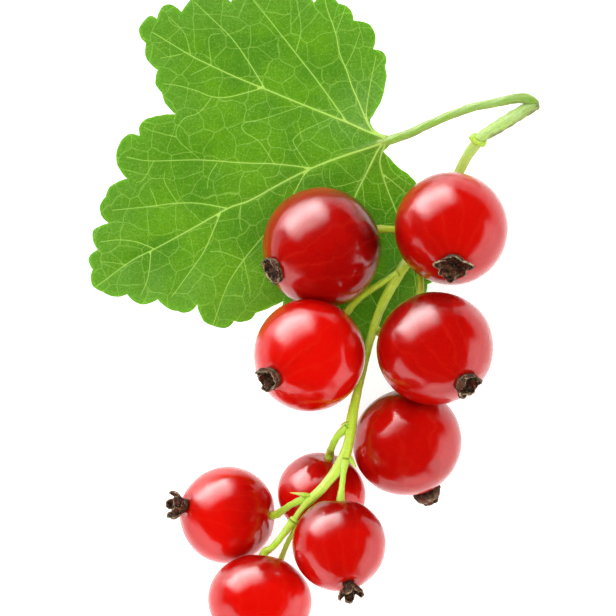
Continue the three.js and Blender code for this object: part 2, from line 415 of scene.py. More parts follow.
class Ripeness(Enum):
    """How dark a berry's juice is: its deep colour towards the pedicel and its lighter colour away from it, with
    patches of both; the darkening towards the pedicel is partly painted shade.
    """

    LIGHT = ((0.36, 0.0010, 0.0004, 1), (0.74, 0.0035, 0.0008, 1))
    FULL = ((0.28, 0.0008, 0.0004, 1), (0.62, 0.003, 0.0008, 1))
    DARK = ((0.19, 0.0008, 0.0004, 1), (0.54, 0.0025, 0.0008, 1))
    DARKEST = ((0.11, 0.0008, 0.0012, 1), (0.48, 0.002, 0.001, 1))


@dataclass(frozen=True)
class BerrySkin:
    """Thin glossy skin over clear red pulp, with faint pale veins from pole to pole.

    Attributes:
        ripeness: how dark the juice is.
        vein: the colour of the veins.
        veins: how many veins run from pole to pole.
        depth: how far light goes into the pulp, in metres.
    """

    ripeness: Ripeness
    vein: Colour = (0.85, 0.05, 0.02, 1)
    veins: int = 13
    depth: float = 0.002

    def material(self) -> bpy.types.Material:
        """Builds the material."""
        shader = Shader(f"berry_skin_{self.ripeness.name.lower()}")
        deep, bright = self.ripeness.value
        patches = shader.spread(shader.noise(4.5 * MM, 2.0, 0.4), 0.35, 0.7, -0.18, 0.18)
        # Darker towards the pedicel and lighter away from it: partly the berry's own darker stalk end, partly painted
        # shade and painted glow of light through the pulp.
        from_stalk = shader.spread(shader.carried("from_stalk"), 0.2, 0.72)
        pulp = shader.mix(shader.math("ADD", patches, from_stalk, True), deep, bright)
        lines = self.vein_lines(shader)
        speckle = shader.spread(shader.noise(0.22 * MM, 3.0), 0.45, 0.8, 0.0, 0.12)
        colour = shader.tint(pulp, lines, 0.1, self.vein)
        colour = shader.mix(speckle, colour, self.vein)
        shader.set(
            Base_Color=colour,
            Roughness=shader.spread(shader.noise(1.4 * MM, 3.0), 0.3, 0.7, 0.13, 0.23),
            IOR=1.38,
            Subsurface_Weight=1.0,
            Subsurface_Radius=(1.0, 0.12, 0.07),
            Subsurface_Scale=self.depth,
            Coat_Weight=0.22,
            Coat_Roughness=0.04,
            Coat_IOR=1.4,
        )
        shader.relief(
            (shader.noise(1.5 * MM, 2.0), 0.034 * MM),
            (shader.noise(0.4 * MM, 2.0), 0.003 * MM),
            (lines, 0.002 * MM),
        )
        return shader.material

    def vein_lines(self, shader: Shader) -> bpy.types.NodeSocket:
        """Draws the veins from the meridian that the mesh carries, as 1 on a vein and 0 off it."""
        split = shader.node("ShaderNodeSeparateXYZ", {0: shader.carried("meridian", True)})
        angle = shader.math("ARCTAN2", split.outputs["Y"], split.outputs["X"])
        wander = shader.math("MULTIPLY", shader.noise(2.6 * MM, 2.0), 0.55)
        turned = shader.math("MULTIPLY", shader.math("ADD", angle, wander), self.veins / 2)
        off_vein = shader.math("ABSOLUTE", shader.math("SINE", turned))
        across = shader.math("MULTIPLY", off_vein, split.outputs["Z"])
        return shader.spread(across, 0.0, 0.34, 1.0, 0.0)


@dataclass(frozen=True)
class DriedTissue:
    """Dry, wrinkled brown tissue, paler along its edges and tips.

    Attributes:
        name: the material's name.
        dark: the colour of the folds.
        brown: the colour of most of it.
        maroon: the colour of the juice that has soaked into it.
        pale: the colour of the edges and tips.
    """

    name: str = "dried_calyx"
    dark: Colour = (0.010, 0.004, 0.003, 1)
    brown: Colour = (0.15, 0.066, 0.024, 1)
    pale: Colour = (0.56, 0.41, 0.24, 1)
    maroon: Colour = (0.13, 0.012, 0.010, 1)

    def material(self) -> bpy.types.Material:
        """Builds the material."""
        shader = Shader(self.name)
        blotches = shader.spread(shader.noise(0.45 * MM, 4.0, 0.6), 0.42, 0.7)
        colour = shader.mix(blotches, self.dark, self.brown)
        soaked = shader.spread(shader.noise(0.7 * MM, 2.0, 0.5), 0.5, 0.62, 0.0, 0.7)
        colour = shader.mix(soaked, colour, self.maroon)
        flecks = shader.spread(shader.noise(0.28 * MM, 3.0, 1.0), 0.48, 0.68)
        edge = shader.spread(shader.carried("rim"), 0.35, 0.95)
        reach = shader.spread(shader.carried("tip"), 0.1, 0.7, 0.35, 1.0)
        colour = shader.tint(colour, flecks, 0.12, self.pale)
        worn = shader.math("MULTIPLY", edge, shader.math("MULTIPLY", reach, shader.math("ADD", flecks, 0.25, True)))
        colour = shader.mix(worn, colour, self.pale)
        shader.set(
            Base_Color=colour,
            Roughness=shader.spread(shader.noise(0.4 * MM), 0.3, 0.7, 0.5, 0.85),
            Specular_IOR_Level=0.15,
        )
        shader.relief((shader.noise(0.18 * MM, 4.0, 0.5), 0.09 * MM))
        return shader.material


@dataclass(frozen=True)
class GreenStalk:
    """Smooth green tissue with streaks that run along the stalk, and painted shade as a brown tinge on the side away
    from the key light.

    Attributes:
        name: the material's name.
        colours: the colour at places along the stalk, from 0 at its start to 1 at its end.
        streak: the colour of the streaks.
        streaks: how strong the streaks are.
        groove: how strong the green line along its upper side is.
        groove_green: the colour of that line.
        shaded_flank: how strong the painted shade is: a brown tinge on the side away from the key light, partly the
            stalk's own brown.
        shade_and_speck_brown: the colour of that painted shade and of the brown specks.
    """

    name: str
    colours: tuple[tuple[float, Colour], ...]
    streak: Colour
    streaks: float = 0.5
    groove: float = 0.0
    groove_green: Colour = (0.16, 0.42, 0.01, 1)
    shaded_flank: float = 0.0
    shade_and_speck_brown: Colour = (0.14, 0.16, 0.03, 1)

    def material(self) -> bpy.types.Material:
        """Builds the material."""
        shader = Shader(self.name)
        split = shader.node("ShaderNodeSeparateXYZ", {0: shader.carried("flow", True)})
        ramp = shader.node("ShaderNodeValToRGB", {0: split.outputs["Z"]})
        ramp.color_ramp.interpolation = "EASE"
        elements = ramp.color_ramp.elements
        elements[0].position, elements[0].color = self.colours[0]
        elements[1].position, elements[1].color = self.colours[-1]
        for position, colour in self.colours[1:-1]:
            elements.new(position).color = colour
        around = shader.node(
            "ShaderNodeCombineXYZ",
            {0: split.outputs["X"], 1: split.outputs["Y"], 2: shader.math("MULTIPLY", split.outputs["Z"], 2.5)},
        )
        lines = shader.spread(shader.noise(0.45, 3.0, 0.3, around.outputs[0]), 0.42, 0.66)
        blotch = shader.spread(shader.noise(0.9 * MM, 3.0), 0.4, 0.75)
        colour = shader.tint(ramp.outputs[0], lines, self.streaks, self.streak)
        colour = shader.tint(colour, blotch, 0.3, self.streak)
        facing = shader.node("ShaderNodeSeparateXYZ", {0: shader.carried("facing", True)})
        wavy = shader.math("ADD", facing.outputs["X"], shader.spread(shader.noise(0.7 * MM), 0.3, 0.7, -0.07, 0.07))
        colour = shader.mix(shader.spread(wavy, 0.5, 1.0, 0.0, self.groove), colour, self.groove_green)
        # Painted shade: a brown tinge on the side that faces away from the key light, partly the stalk's own brown.
        side = shader.math("ADD", facing.outputs["Y"], shader.spread(shader.noise(0.9 * MM), 0.3, 0.7, -0.2, 0.2))
        colour = shader.mix(shader.spread(side, 0.2, 0.95, 0.0, self.shaded_flank), colour, self.shade_and_speck_brown)
        specks = shader.spread(shader.noise(0.14 * MM, 2.0), 0.52, 0.7, 0.0, 0.3)
        colour = shader.mix(specks, colour, self.shade_and_speck_brown)
        shader.set(
            Base_Color=colour,
            Roughness=shader.spread(shader.noise(0.5 * MM), 0.3, 0.7, 0.36, 0.5),
            Specular_IOR_Level=0.35,
            Subsurface_Weight=0.45,
            Subsurface_Radius=(0.7, 1.0, 0.2),
            Subsurface_Scale=0.35 * MM,
        )
        shader.relief((lines, 0.025 * MM), (shader.noise(0.14 * MM, 3.0), 0.02 * MM))
        return shader.material


@dataclass(frozen=True)
class LeafSkin:
    """A satin leaf with a net of pale veins.

    Attributes:
        name: the material's name.
        deep: the colour of the darker patches between the veins.
        bright: the colour of the lighter patches.
        cool: the colour near the margin.
        vein: the colour of the veins.
        back: the colour of the underside.
    """

    name: str = "leaf_green"
    deep: Colour = (0.074, 0.235, 0.0005, 1)
    bright: Colour = (0.14, 0.34, 0.0005, 1)
    cool: Colour = (0.14, 0.32, 0.022, 1)
    vein: Colour = (0.50, 0.70, 0.13, 1)
    back: Colour = (0.30, 0.50, 0.14, 1)

    def material(self) -> bpy.types.Material:
        """Builds the material."""
        shader = Shader(self.name)
        spot = shader.own_place()
        patches = shader.spread(shader.noise(6 * MM, 3.0, 0.3), 0.36, 0.66)
        colour = shader.mix(patches, self.deep, self.bright)
        rim = shader.spread(shader.carried("to_margin"), 0.2, 5.0, 0.75, 0.0)
        colour = shader.mix(rim, colour, self.cool)
        wide_net = self.net(shader, spot, 2.4 * MM, 0.035)
        net = self.net(shader, spot, 1.1 * MM, 0.07)
        fine = self.net(shader, spot, 0.45 * MM, 0.10)
        cells = shader.spread(shader.noise(0.2 * MM, 3.0), 0.4, 0.62)
        dots = shader.spread(shader.noise(0.16 * MM, 2.0), 0.56, 0.72)
        colour = shader.tint(colour, cells, 0.55, self.deep)
        for pattern, strength in ((dots, 0.26), (wide_net, 0.34), (fine, 0.07), (net, 0.11)):
            colour = shader.tint(colour, pattern, strength, self.vein)
        minor = shader.spread(shader.carried("minor_vein"), 0.4, 1.2, 1.0, 0.0)
        major = shader.spread(shader.carried("major_vein"), 0.3, 0.72, 1.0, 0.0)
        halo = shader.spread(shader.carried("major_vein"), 0.8, 2.6, 0.1, 0.0)
        colour = shader.mix(halo, colour, self.vein)
        colour = shader.tint(colour, minor, 0.5, self.vein)
        colour = shader.tint(colour, major, 0.95, self.vein)
        colour = shader.mix(shader.spread(shader.carried("from_foot"), 0.3, 1.4, 0.45, 0.0), colour, self.vein)
        underside = shader.math("MULTIPLY", shader.carried("underside"), 0.85)
        colour = shader.mix(underside, colour, self.back)
        shader.set(
            Base_Color=colour,
            Roughness=shader.spread(shader.noise(0.6 * MM, 2.0), 0.3, 0.7, 0.36, 0.5),
            Specular_IOR_Level=0.12,
            Subsurface_Weight=0.55,
            Subsurface_Radius=(0.6, 1.0, 0.1),
            Subsurface_Scale=0.9 * MM,
        )
        ribs = shader.math("SUBTRACT", 1.0, shader.math("MAXIMUM", major, shader.math("MULTIPLY", minor, 0.7)))
        shader.relief(
            (shader.math("SUBTRACT", 1.0, wide_net), 0.02 * MM),
            (shader.math("SUBTRACT", 1.0, net), 0.01 * MM),
            (ribs, 0.025 * MM),
            (shader.math("SUBTRACT", 1.0, fine), 0.008 * MM),
            (cells, 0.02 * MM),
        )
        return shader.material

    def net(self, shader: Shader, spot: object, cell: float, line: float) -> bpy.types.NodeSocket:
        """Draws a net of small veins.

        Args:
            shader: the material that it is for.
            spot: the coordinates.
            cell: the width of one mesh of the net, in metres.
            line: the width of a line, over the cell's.

        Returns:
            A socket that is 1 on a line and 0 off it.
        """
        warp = shader.node("ShaderNodeTexNoise", {"Vector": spot, "Scale": 0.9 / cell, "Detail": 1.0})
        bend = shader.node("ShaderNodeVectorMath", {0: warp.outputs["Color"], 1: (0.5, 0.5, 0.5)}, operation="SUBTRACT")
        length = shader.node("ShaderNodeVectorMath", {0: bend.outputs[0], "Scale": 0.7 * cell}, operation="SCALE")
        moved = shader.node("ShaderNodeVectorMath", {0: spot, 1: length.outputs[0]}, operation="ADD")
        flat = shader.node("ShaderNodeMapping", {"Vector": moved.outputs[0], "Scale": (1, 1, 0.0)})
        cells = shader.node(
            "ShaderNodeTexVoronoi",
            {"Vector": flat.outputs[0], "Scale": 1.0 / cell},
            feature="DISTANCE_TO_EDGE",
            voronoi_dimensions="2D",
        )
        return shader.spread(cells.outputs["Distance"], 0.0, line, 1.0, 0.0)


DRIED_TISSUE = DriedTissue()
STRIG_GREEN = GreenStalk(
    name="strig_green",
    colours=(
        (0.0, (0.50, 0.70, 0.16, 1)),
        (0.16, (0.44, 0.56, 0.06, 1)),
        (0.36, (0.42, 0.58, 0.01, 1)),
        (0.6, (0.42, 0.64, 0.005, 1)),
        (0.74, (0.58, 0.86, 0.04, 1)),
        (0.88, (0.62, 0.86, 0.10, 1)),
        (1.0, (0.52, 0.82, 0.05, 1)),
    ),
    streak=(0.76, 0.88, 0.16, 1),
    streaks=0.4,
    shaded_flank=0.55,
    shade_and_speck_brown=(0.24, 0.26, 0.02, 1),
)
PEDICEL_LIME = GreenStalk(
    name="pedicel_lime",
    colours=((0.0, (0.54, 0.86, 0.05, 1)), (0.6, (0.48, 0.82, 0.02, 1)), (1.0, (0.46, 0.70, 0.02, 1))),
    streak=(0.80, 0.92, 0.24, 1),
    streaks=0.3,
    shaded_flank=0.35,
    shade_and_speck_brown=(0.26, 0.34, 0.02, 1),
)
PEDICEL_OLIVE = GreenStalk(
    name="pedicel_olive",
    colours=((0.0, (0.50, 0.76, 0.02, 1)), (0.5, (0.44, 0.66, 0.01, 1)), (1.0, (0.40, 0.44, 0.01, 1))),
    streak=(0.72, 0.80, 0.14, 1),
    streaks=0.3,
    shaded_flank=0.6,
    shade_and_speck_brown=(0.26, 0.22, 0.02, 1),
)
SPUR_BARK = GreenStalk(
    name="spur_bark",
    colours=(
        (0.0, (0.20, 0.24, 0.08, 1)),
        (0.12, (0.32, 0.50, 0.10, 1)),
        (0.4, (0.46, 0.70, 0.16, 1)),
        (1.0, (0.50, 0.74, 0.18, 1)),
    ),
    streak=(0.66, 0.82, 0.36, 1),
    streaks=0.5,
    shaded_flank=0.9,
)
PETIOLE_GREEN = GreenStalk(
    name="petiole_green",
    colours=(
        (0.0, (0.32, 0.46, 0.09, 1)),
        (0.3, (0.46, 0.66, 0.14, 1)),
        (0.7, (0.40, 0.60, 0.08, 1)),
        (1.0, (0.46, 0.68, 0.12, 1)),
    ),
    streak=(0.62, 0.78, 0.32, 1),
    streaks=0.6,
    groove=0.5,
    shaded_flank=0.5,
)
BRACT_GREEN = GreenStalk(
    name="bract_green",
    colours=((0.0, (0.50, 0.80, 0.05, 1)), (1.0, (0.62, 0.86, 0.12, 1))),
    streak=(0.76, 0.90, 0.32, 1),
    streaks=0.25,
)
LEAF_SKIN = LeafSkin()


@cache
def dressing(finish: BerrySkin | DriedTissue | GreenStalk | LeafSkin) -> bpy.types.Material:
    """Gives a finish's material, which is built the first time and then shared."""
    return finish.material()


# ---- berries -----------------------------------------------------------------------------


@dataclass(frozen=True)
class CalyxShape:
    """How a dried calyx has shrivelled.

    Attributes:
        length: a sepal's length, in millimetres.
        width: a sepal's width at its widest, in millimetres.
        opening: the angle between a sepal's foot and the berry's axis, in degrees.
        curl: how far a sepal turns inwards from foot to tip, in degrees.
        cup: the radius of the cup that the sepals stand on, in millimetres.
        rise: the cup's height, in millimetres.
        taper: the cup's radius at its rim, over its radius at its foot.
        tuft: the length of the dried stamens inside, in millimetres.
        point: how pointed a sepal is, from 0 for round to 1 for sharp.
        petal: the length of the dried petals between the sepals, over a sepal's.
        crumple: how deep its wrinkles are, in millimetres.
    """

    length: float
    width: float
    opening: float
    curl: float
    cup: float
    rise: float
    taper: float
    tuft: float
    point: float
    petal: float
    crumple: float = 0.36


class CalyxForm(Enum):
    """The forms that the calyces take."""

    CROWN = CalyxShape(
        0.8, 1.3, 40, curl=15, cup=1.2, rise=0.75, taper=1.2, tuft=0.55, point=0.6, petal=0.75, crumple=0.2
    )
    BUTTON = CalyxShape(0.75, 1.25, 30, curl=50, cup=1.2, rise=0.6, taper=0.95, tuft=0.7, point=0.4, petal=0.8)
    LOBES = CalyxShape(1.4, 1.4, 70, curl=80, cup=0.85, rise=0.6, taper=0.8, tuft=1.0, point=0.05, petal=0.5)
    SKIRT = CalyxShape(0.5, 1.1, -20, curl=10, cup=1.6, rise=1.3, taper=0.5, tuft=1.4, point=0.3, petal=0.7)


@dataclass(frozen=True)
class Calyx:
    """The dried remains of the flower at a berry's end.

    Attributes:
        node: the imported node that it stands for.
        form: how it has shrivelled.
        size: its scale, 1 for the form's own sizes.
        twist: its turn about the berry's axis, in degrees.
        squash: its height, over the form's own.
        lengths: the length of each sepal, over the form's own.
        segments: how many steps a sepal is drawn out in.
        stamens: how many dried stamens stand in the cup.
    """

    node: str
    form: CalyxForm
    size: float = 1.0
    twist: float = 0.0
    squash: float = 1.0
    lengths: tuple[float, ...] = (1.0, 1.0, 1.0, 1.0, 1.0)
    segments: int = 6
    stamens: int = 9

    def build(self, seat: Vector, way: Vector) -> bpy.types.Object:
        """Makes the calyx where it leaves the berry.

        Args:
            seat: the point of the berry's skin under it, in metres.
            way: the direction that it points in.

        Returns:
            The finished piece.
        """
        chance = random.Random(self.node)
        shape = self.form.value
        parts = [self.cup(shape)]
        sepal = self.sepal(shape)
        for number, length in enumerate(self.lengths):
            around = 2 * math.pi * number / len(self.lengths)
            parts.append(self.copy_sepal(sepal, shape, around, length, chance))
            parts.append(self.copy_sepal(sepal, shape, around + math.pi / len(self.lengths), shape.petal, chance))
        bpy.data.objects.remove(sepal)
        for _ in range(self.stamens):
            parts.append(self.stamen(shape, chance))
        Bench.clear()
        for part in parts:
            part.select_set(True)
        bpy.context.view_layer.objects.active = parts[0]
        bpy.ops.object.join()
        bench = Bench(f"dried_{self.node}")
        bench.modify("SUBSURF", levels=1, render_levels=1)
        bench.roughen(0.6 * MM, shape.crumple * MM, chance.uniform(1, 9) * MM)
        bench.roughen(0.22 * MM, 0.4 * shape.crumple * MM, chance.uniform(1, 9) * MM)
        bench.smooth()
        height = places(bench.obj.data)[:, 2] / ((shape.rise + shape.length) * MM)
        store(bench.obj.data, "tip", np.clip(height, 0, 1))
        bench.obj.data.transform(Matrix.Diagonal((self.size, self.size, self.size * self.squash, 1)))
        bench.settle(turn_to(way, math.radians(self.twist)), seat)
        bench.obj.data.materials.clear()
        bench.obj.data.materials.append(dressing(DRIED_TISSUE))
        return bench.obj

    def cup(self, shape: CalyxShape) -> bpy.types.Object:
        """Makes the short hollow cup, sunk a little into the berry."""
        sunk = 0.35
        Bench.clear()
        bpy.ops.mesh.primitive_cylinder_add(
            vertices=24,
            radius=shape.cup * MM,
            depth=(shape.rise + sunk) * MM,
            location=(0, 0, (shape.rise - sunk) / 2 * MM),
        )
        bench = Bench("cup")
        bpy.ops.object.transform_apply(location=True, rotation=True, scale=True)
        bench.open()
        bench.pick(lambda co: co.z > (shape.rise - 0.01) * MM)
        bpy.ops.transform.resize(value=(shape.taper, shape.taper, 1.0))
        bpy.ops.mesh.inset(thickness=0.16 * MM, use_boundary=True)
        bpy.ops.mesh.inset(thickness=0.1 * MM, use_boundary=True)
        bpy.ops.transform.translate(value=(0, 0, (0.16 - shape.rise) * MM))
        bpy.ops.mesh.inset(thickness=0.35 * shape.cup * shape.taper * MM, use_boundary=True)
        bench.close()
        store(bench.obj.data, "rim", (places(bench.obj.data)[:, 2] > (shape.rise - 0.01) * MM) * 0.8)
        return bench.obj

    def sepal(self, shape: CalyxShape) -> bpy.types.Object:
        """Makes one sepal by drawing a strip out edge by edge, from the cup's rim to its tip."""
        round_end, sharp_end = (0.8, 0.95, 1.0, 0.98, 0.86, 0.5), (0.85, 0.95, 0.85, 0.62, 0.36, 0.08)
        widths = [a + (b - a) * shape.point for a, b in zip(round_end, sharp_end)]
        step = shape.length / self.segments * MM
        before = 0.8
        Bench.clear()
        bpy.ops.mesh.primitive_grid_add(x_subdivisions=6, y_subdivisions=1, size=1.0)
        bench = Bench("sepal")
        bench.open()
        bpy.ops.transform.resize(value=(before * shape.width * MM, step, 1.0), center_override=(0, 0, 0))
        lean = math.radians(90 - shape.opening)
        bench.pick(lambda co: co.y > 0)
        bpy.ops.transform.translate(value=(0, step * (math.cos(lean) - 1), step * math.sin(lean)))
        for wide in widths:
            lean += math.radians(shape.curl / self.segments)
            along = (0, step * math.cos(lean), step * math.sin(lean))
            bpy.ops.mesh.extrude_region_move(TRANSFORM_OT_translate={"value": along})
            bpy.ops.transform.resize(value=(wide / before, 1, 1))
            before = wide
        bench.close()
        self.hollow(bench.obj.data, shape)
        bench.modify("SOLIDIFY", thickness=0.15 * MM, offset=0.0)
        return bench.obj

    @staticmethod
    def hollow(mesh: bpy.types.Mesh, shape: CalyxShape) -> None:
        """Bends a sepal into a shallow trough, and stores how near its edge each vertex is.

        Args:
            mesh: the flat sepal.
            shape: the calyx's shape.
        """
        co = places(mesh)
        across = np.abs(co[:, 0]) / (shape.width / 2 * MM)
        co[:, 1] -= 0.22 * shape.width * MM * across**2
        mesh.vertices.foreach_set("co", co.astype(np.float32).ravel())
        faces_at = np.zeros(len(mesh.vertices), int)
        for face in mesh.polygons:
            faces_at[list(face.vertices)] += 1
        store(mesh, "rim", ((faces_at < 4) & (co[:, 2] > 0.1 * MM)).astype(float))

    def copy_sepal(
        self, sepal: bpy.types.Object, shape: CalyxShape, around: float, length: float, chance: random.Random
    ) -> bpy.types.Object:
        """Sets one copy of the sepal on the cup's rim.

        Args:
            sepal: the sepal to copy.
            shape: the calyx's shape.
            around: where it stands round the rim, in radians.
            length: its length, over the sepal's own.
            chance: where its small differences come from.

        Returns:
            The copy, with its own mesh.
        """
        copy = bpy.data.objects.new("sepal_copy", sepal.data.copy())
        bpy.context.scene.collection.objects.link(copy)
        turn = Matrix.Rotation(around + chance.uniform(-0.15, 0.15), 4, "Z")
        out = Matrix.Translation((0, 0.9 * shape.cup * shape.taper * MM, (shape.rise - 0.14) * MM))
        lean = Matrix.Rotation(math.radians(chance.uniform(-16, 16)), 4, "X")
        roll = Matrix.Rotation(math.radians(chance.uniform(-16, 16)), 4, "Y")
        size = length * chance.uniform(0.85, 1.15)
        copy.data.transform(turn @ out @ lean @ roll @ Matrix.Diagonal((chance.uniform(0.85, 1.1), size, size, 1)))
        return copy

    def stamen(self, shape: CalyxShape, chance: random.Random) -> bpy.types.Object:
        """Makes one dried stamen inside the cup."""
        length = shape.tuft * chance.uniform(0.7, 1.15) * MM
        Bench.clear()
        bpy.ops.mesh.primitive_cone_add(
            vertices=7, radius1=0.12 * MM, radius2=0.05 * MM, depth=length, location=(0, 0, length / 2)
        )
        bench = Bench("stamen")
        bpy.ops.object.transform_apply(location=True, rotation=True, scale=True)
        lean = Matrix.Rotation(math.radians(chance.uniform(-45, 30)), 4, "X")
        turn = Matrix.Rotation(chance.uniform(0, 2 * math.pi), 4, "Z")
        foot = Matrix.Translation((0, chance.uniform(0.1, 0.75) * shape.cup * shape.taper * MM, 0))
        bench.obj.data.transform(turn @ foot @ lean)
        store(bench.obj.data, "rim", np.full(len(bench.obj.data.vertices), 0.45))
        return bench.obj


@dataclass(frozen=True)
class Berry:
    """One redcurrant with its dried calyx.

    Attributes:
        number: the berry's number along the strig.
        at: its centre, in millimetres.
        radius: its radius at the equator, in millimetres.
        tall: its height from pole to pole, over its width.
        stalk: the direction in which its pedicel leaves it.
        calyx_way: the direction in which its calyx stands out.
        calyx: its dried calyx.
        ripeness: how dark its juice is.
        plump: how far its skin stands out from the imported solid, in millimetres.
        nudge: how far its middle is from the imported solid's, in millimetres.
        flat_to_stalk: whether it is flattened towards its pedicel, not towards its calyx.
        segments: how many faces go round it.
        rings: how many rows of faces it has from pole to pole.
        dimple: the depth of the hollow round the pedicel, in millimetres.
        unevenness: how far its skin is from even, in millimetres.
        lump: the size of that unevenness, in millimetres.
    """

    number: int
    at: Point
    radius: float
    tall: float
    stalk: Point
    calyx_way: Point
    calyx: Calyx
    ripeness: Ripeness = Ripeness.FULL
    plump: float = 0.09
    nudge: Point = (0.0, 0.0, 0.0)
    flat_to_stalk: bool = False
    segments: int = 112
    rings: int = 72
    dimple: float = 0.45
    unevenness: float = 0.16
    lump: float = 5.2

    @property
    def node(self) -> str:
        """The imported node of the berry."""
        return f"berry_{self.number}"

    def build(self, layout: Layout) -> bpy.types.Object:
        """Makes the berry, its flower end towards its calyx.

        Args:
            layout: where the sprig lies in the frame.

        Returns:
            The finished piece.
        """
        Bench.clear()
        bpy.ops.mesh.primitive_uv_sphere_add(
            segments=self.segments, ring_count=self.rings, radius=(self.radius + self.plump) * MM
        )
        bench = Bench(f"ripe_{self.node}")
        flower = Vector(self.calyx_way).normalized()
        turn = turn_to(flower)
        stalk = (turn.inverted() @ Vector(self.stalk)).normalized()
        if self.flat_to_stalk:
            axis = turn_to(stalk)
            bench.obj.data.transform((axis @ Matrix.Diagonal((1, 1, self.tall)) @ axis.inverted()).to_4x4())
        bench.open()
        if not self.flat_to_stalk:
            bpy.ops.transform.resize(value=(1, 1, self.tall), center_override=(0, 0, 0))
        flower_pole = Vector((0, 0, 1))
        for way, depth, reach in (
            (stalk, -self.dimple, 2.4),
            (stalk, 0.12, 4.2),
            (flower_pole, 0.22, 3.4),
            (flower_pole, -0.5, 1.5),
        ):
            self.push(bench, way, depth, reach)
        bench.close()
        bench.settle(turn, self.middle(layout))
        bench.roughen(self.lump * MM, self.unevenness * MM)
        bench.smooth()
        self.draw_meridians(bench.obj.data, layout)
        bench.obj.data.materials.append(dressing(BerrySkin(self.ripeness)))
        return bench.obj

    def middle(self, layout: Layout) -> Vector:
        """Gives the berry's middle in the frame, in metres."""
        return layout.place(self.at) + Vector(self.nudge) * MM

    def push(self, bench: Bench, way: Vector, depth: float, reach: float) -> None:
        """Pushes the skin in or out round the point where a direction leaves the berry.

        Args:
            bench: the berry on the bench, in edit mode.
            way: the direction.
            depth: how far the skin moves out, in millimetres.
            reach: how far round the point it is felt, in millimetres.
        """
        mesh = bmesh.from_edit_mesh(bench.obj.data)
        nearest = min((vertex.co for vertex in mesh.verts), key=lambda co: -co.normalized().dot(way))
        point = nearest.copy()
        bench.pick(lambda co: (co - point).length < SAME_SPOT)
        bench.pull(way * depth * MM, reach * MM)

    def draw_meridians(self, mesh: bpy.types.Mesh, layout: Layout) -> None:
        """Stores, at each vertex, the meridian from the calyx to the pedicel that it lies on.

        The sphere is flattened from the pedicel's pole, so that each meridian becomes a straight
        line through the calyx's pole, and the line's direction is stored with the distance to the
        nearer pole.

        Args:
            mesh: the berry's mesh, in its place.
            layout: where the sprig lies in the frame.
        """
        ways = places(mesh) - np.array(self.middle(layout))
        ways /= np.linalg.norm(ways, axis=1, keepdims=True)
        turn = np.array(turn_to(Vector(self.stalk)).inverted())
        local = ways @ turn.T
        pole = turn @ np.array(Vector(self.calyx_way).normalized())
        flat = local[:, :2] / np.maximum(1 - local[:, 2:3], 1e-4) - pole[:2] / (1 - pole[2])
        angle = np.arctan2(flat[:, 1], flat[:, 0])
        to_calyx = np.linalg.norm(local - pole, axis=1)
        to_stalk = np.linalg.norm(local - np.array((0, 0, 1)), axis=1)
        near = np.minimum(np.minimum(to_calyx, to_stalk), 1.0)
        store(mesh, "meridian", np.column_stack((np.cos(angle), np.sin(angle), near)))
        store(mesh, "from_stalk", to_stalk / 2)

    def calyx_seat(self, layout: Layout) -> Vector:
        """Gives the point of the skin under the calyx, in metres."""
        way = Vector(self.calyx_way).normalized()
        return self.middle(layout) + way * (self.radius + self.plump) * self.tall * MM


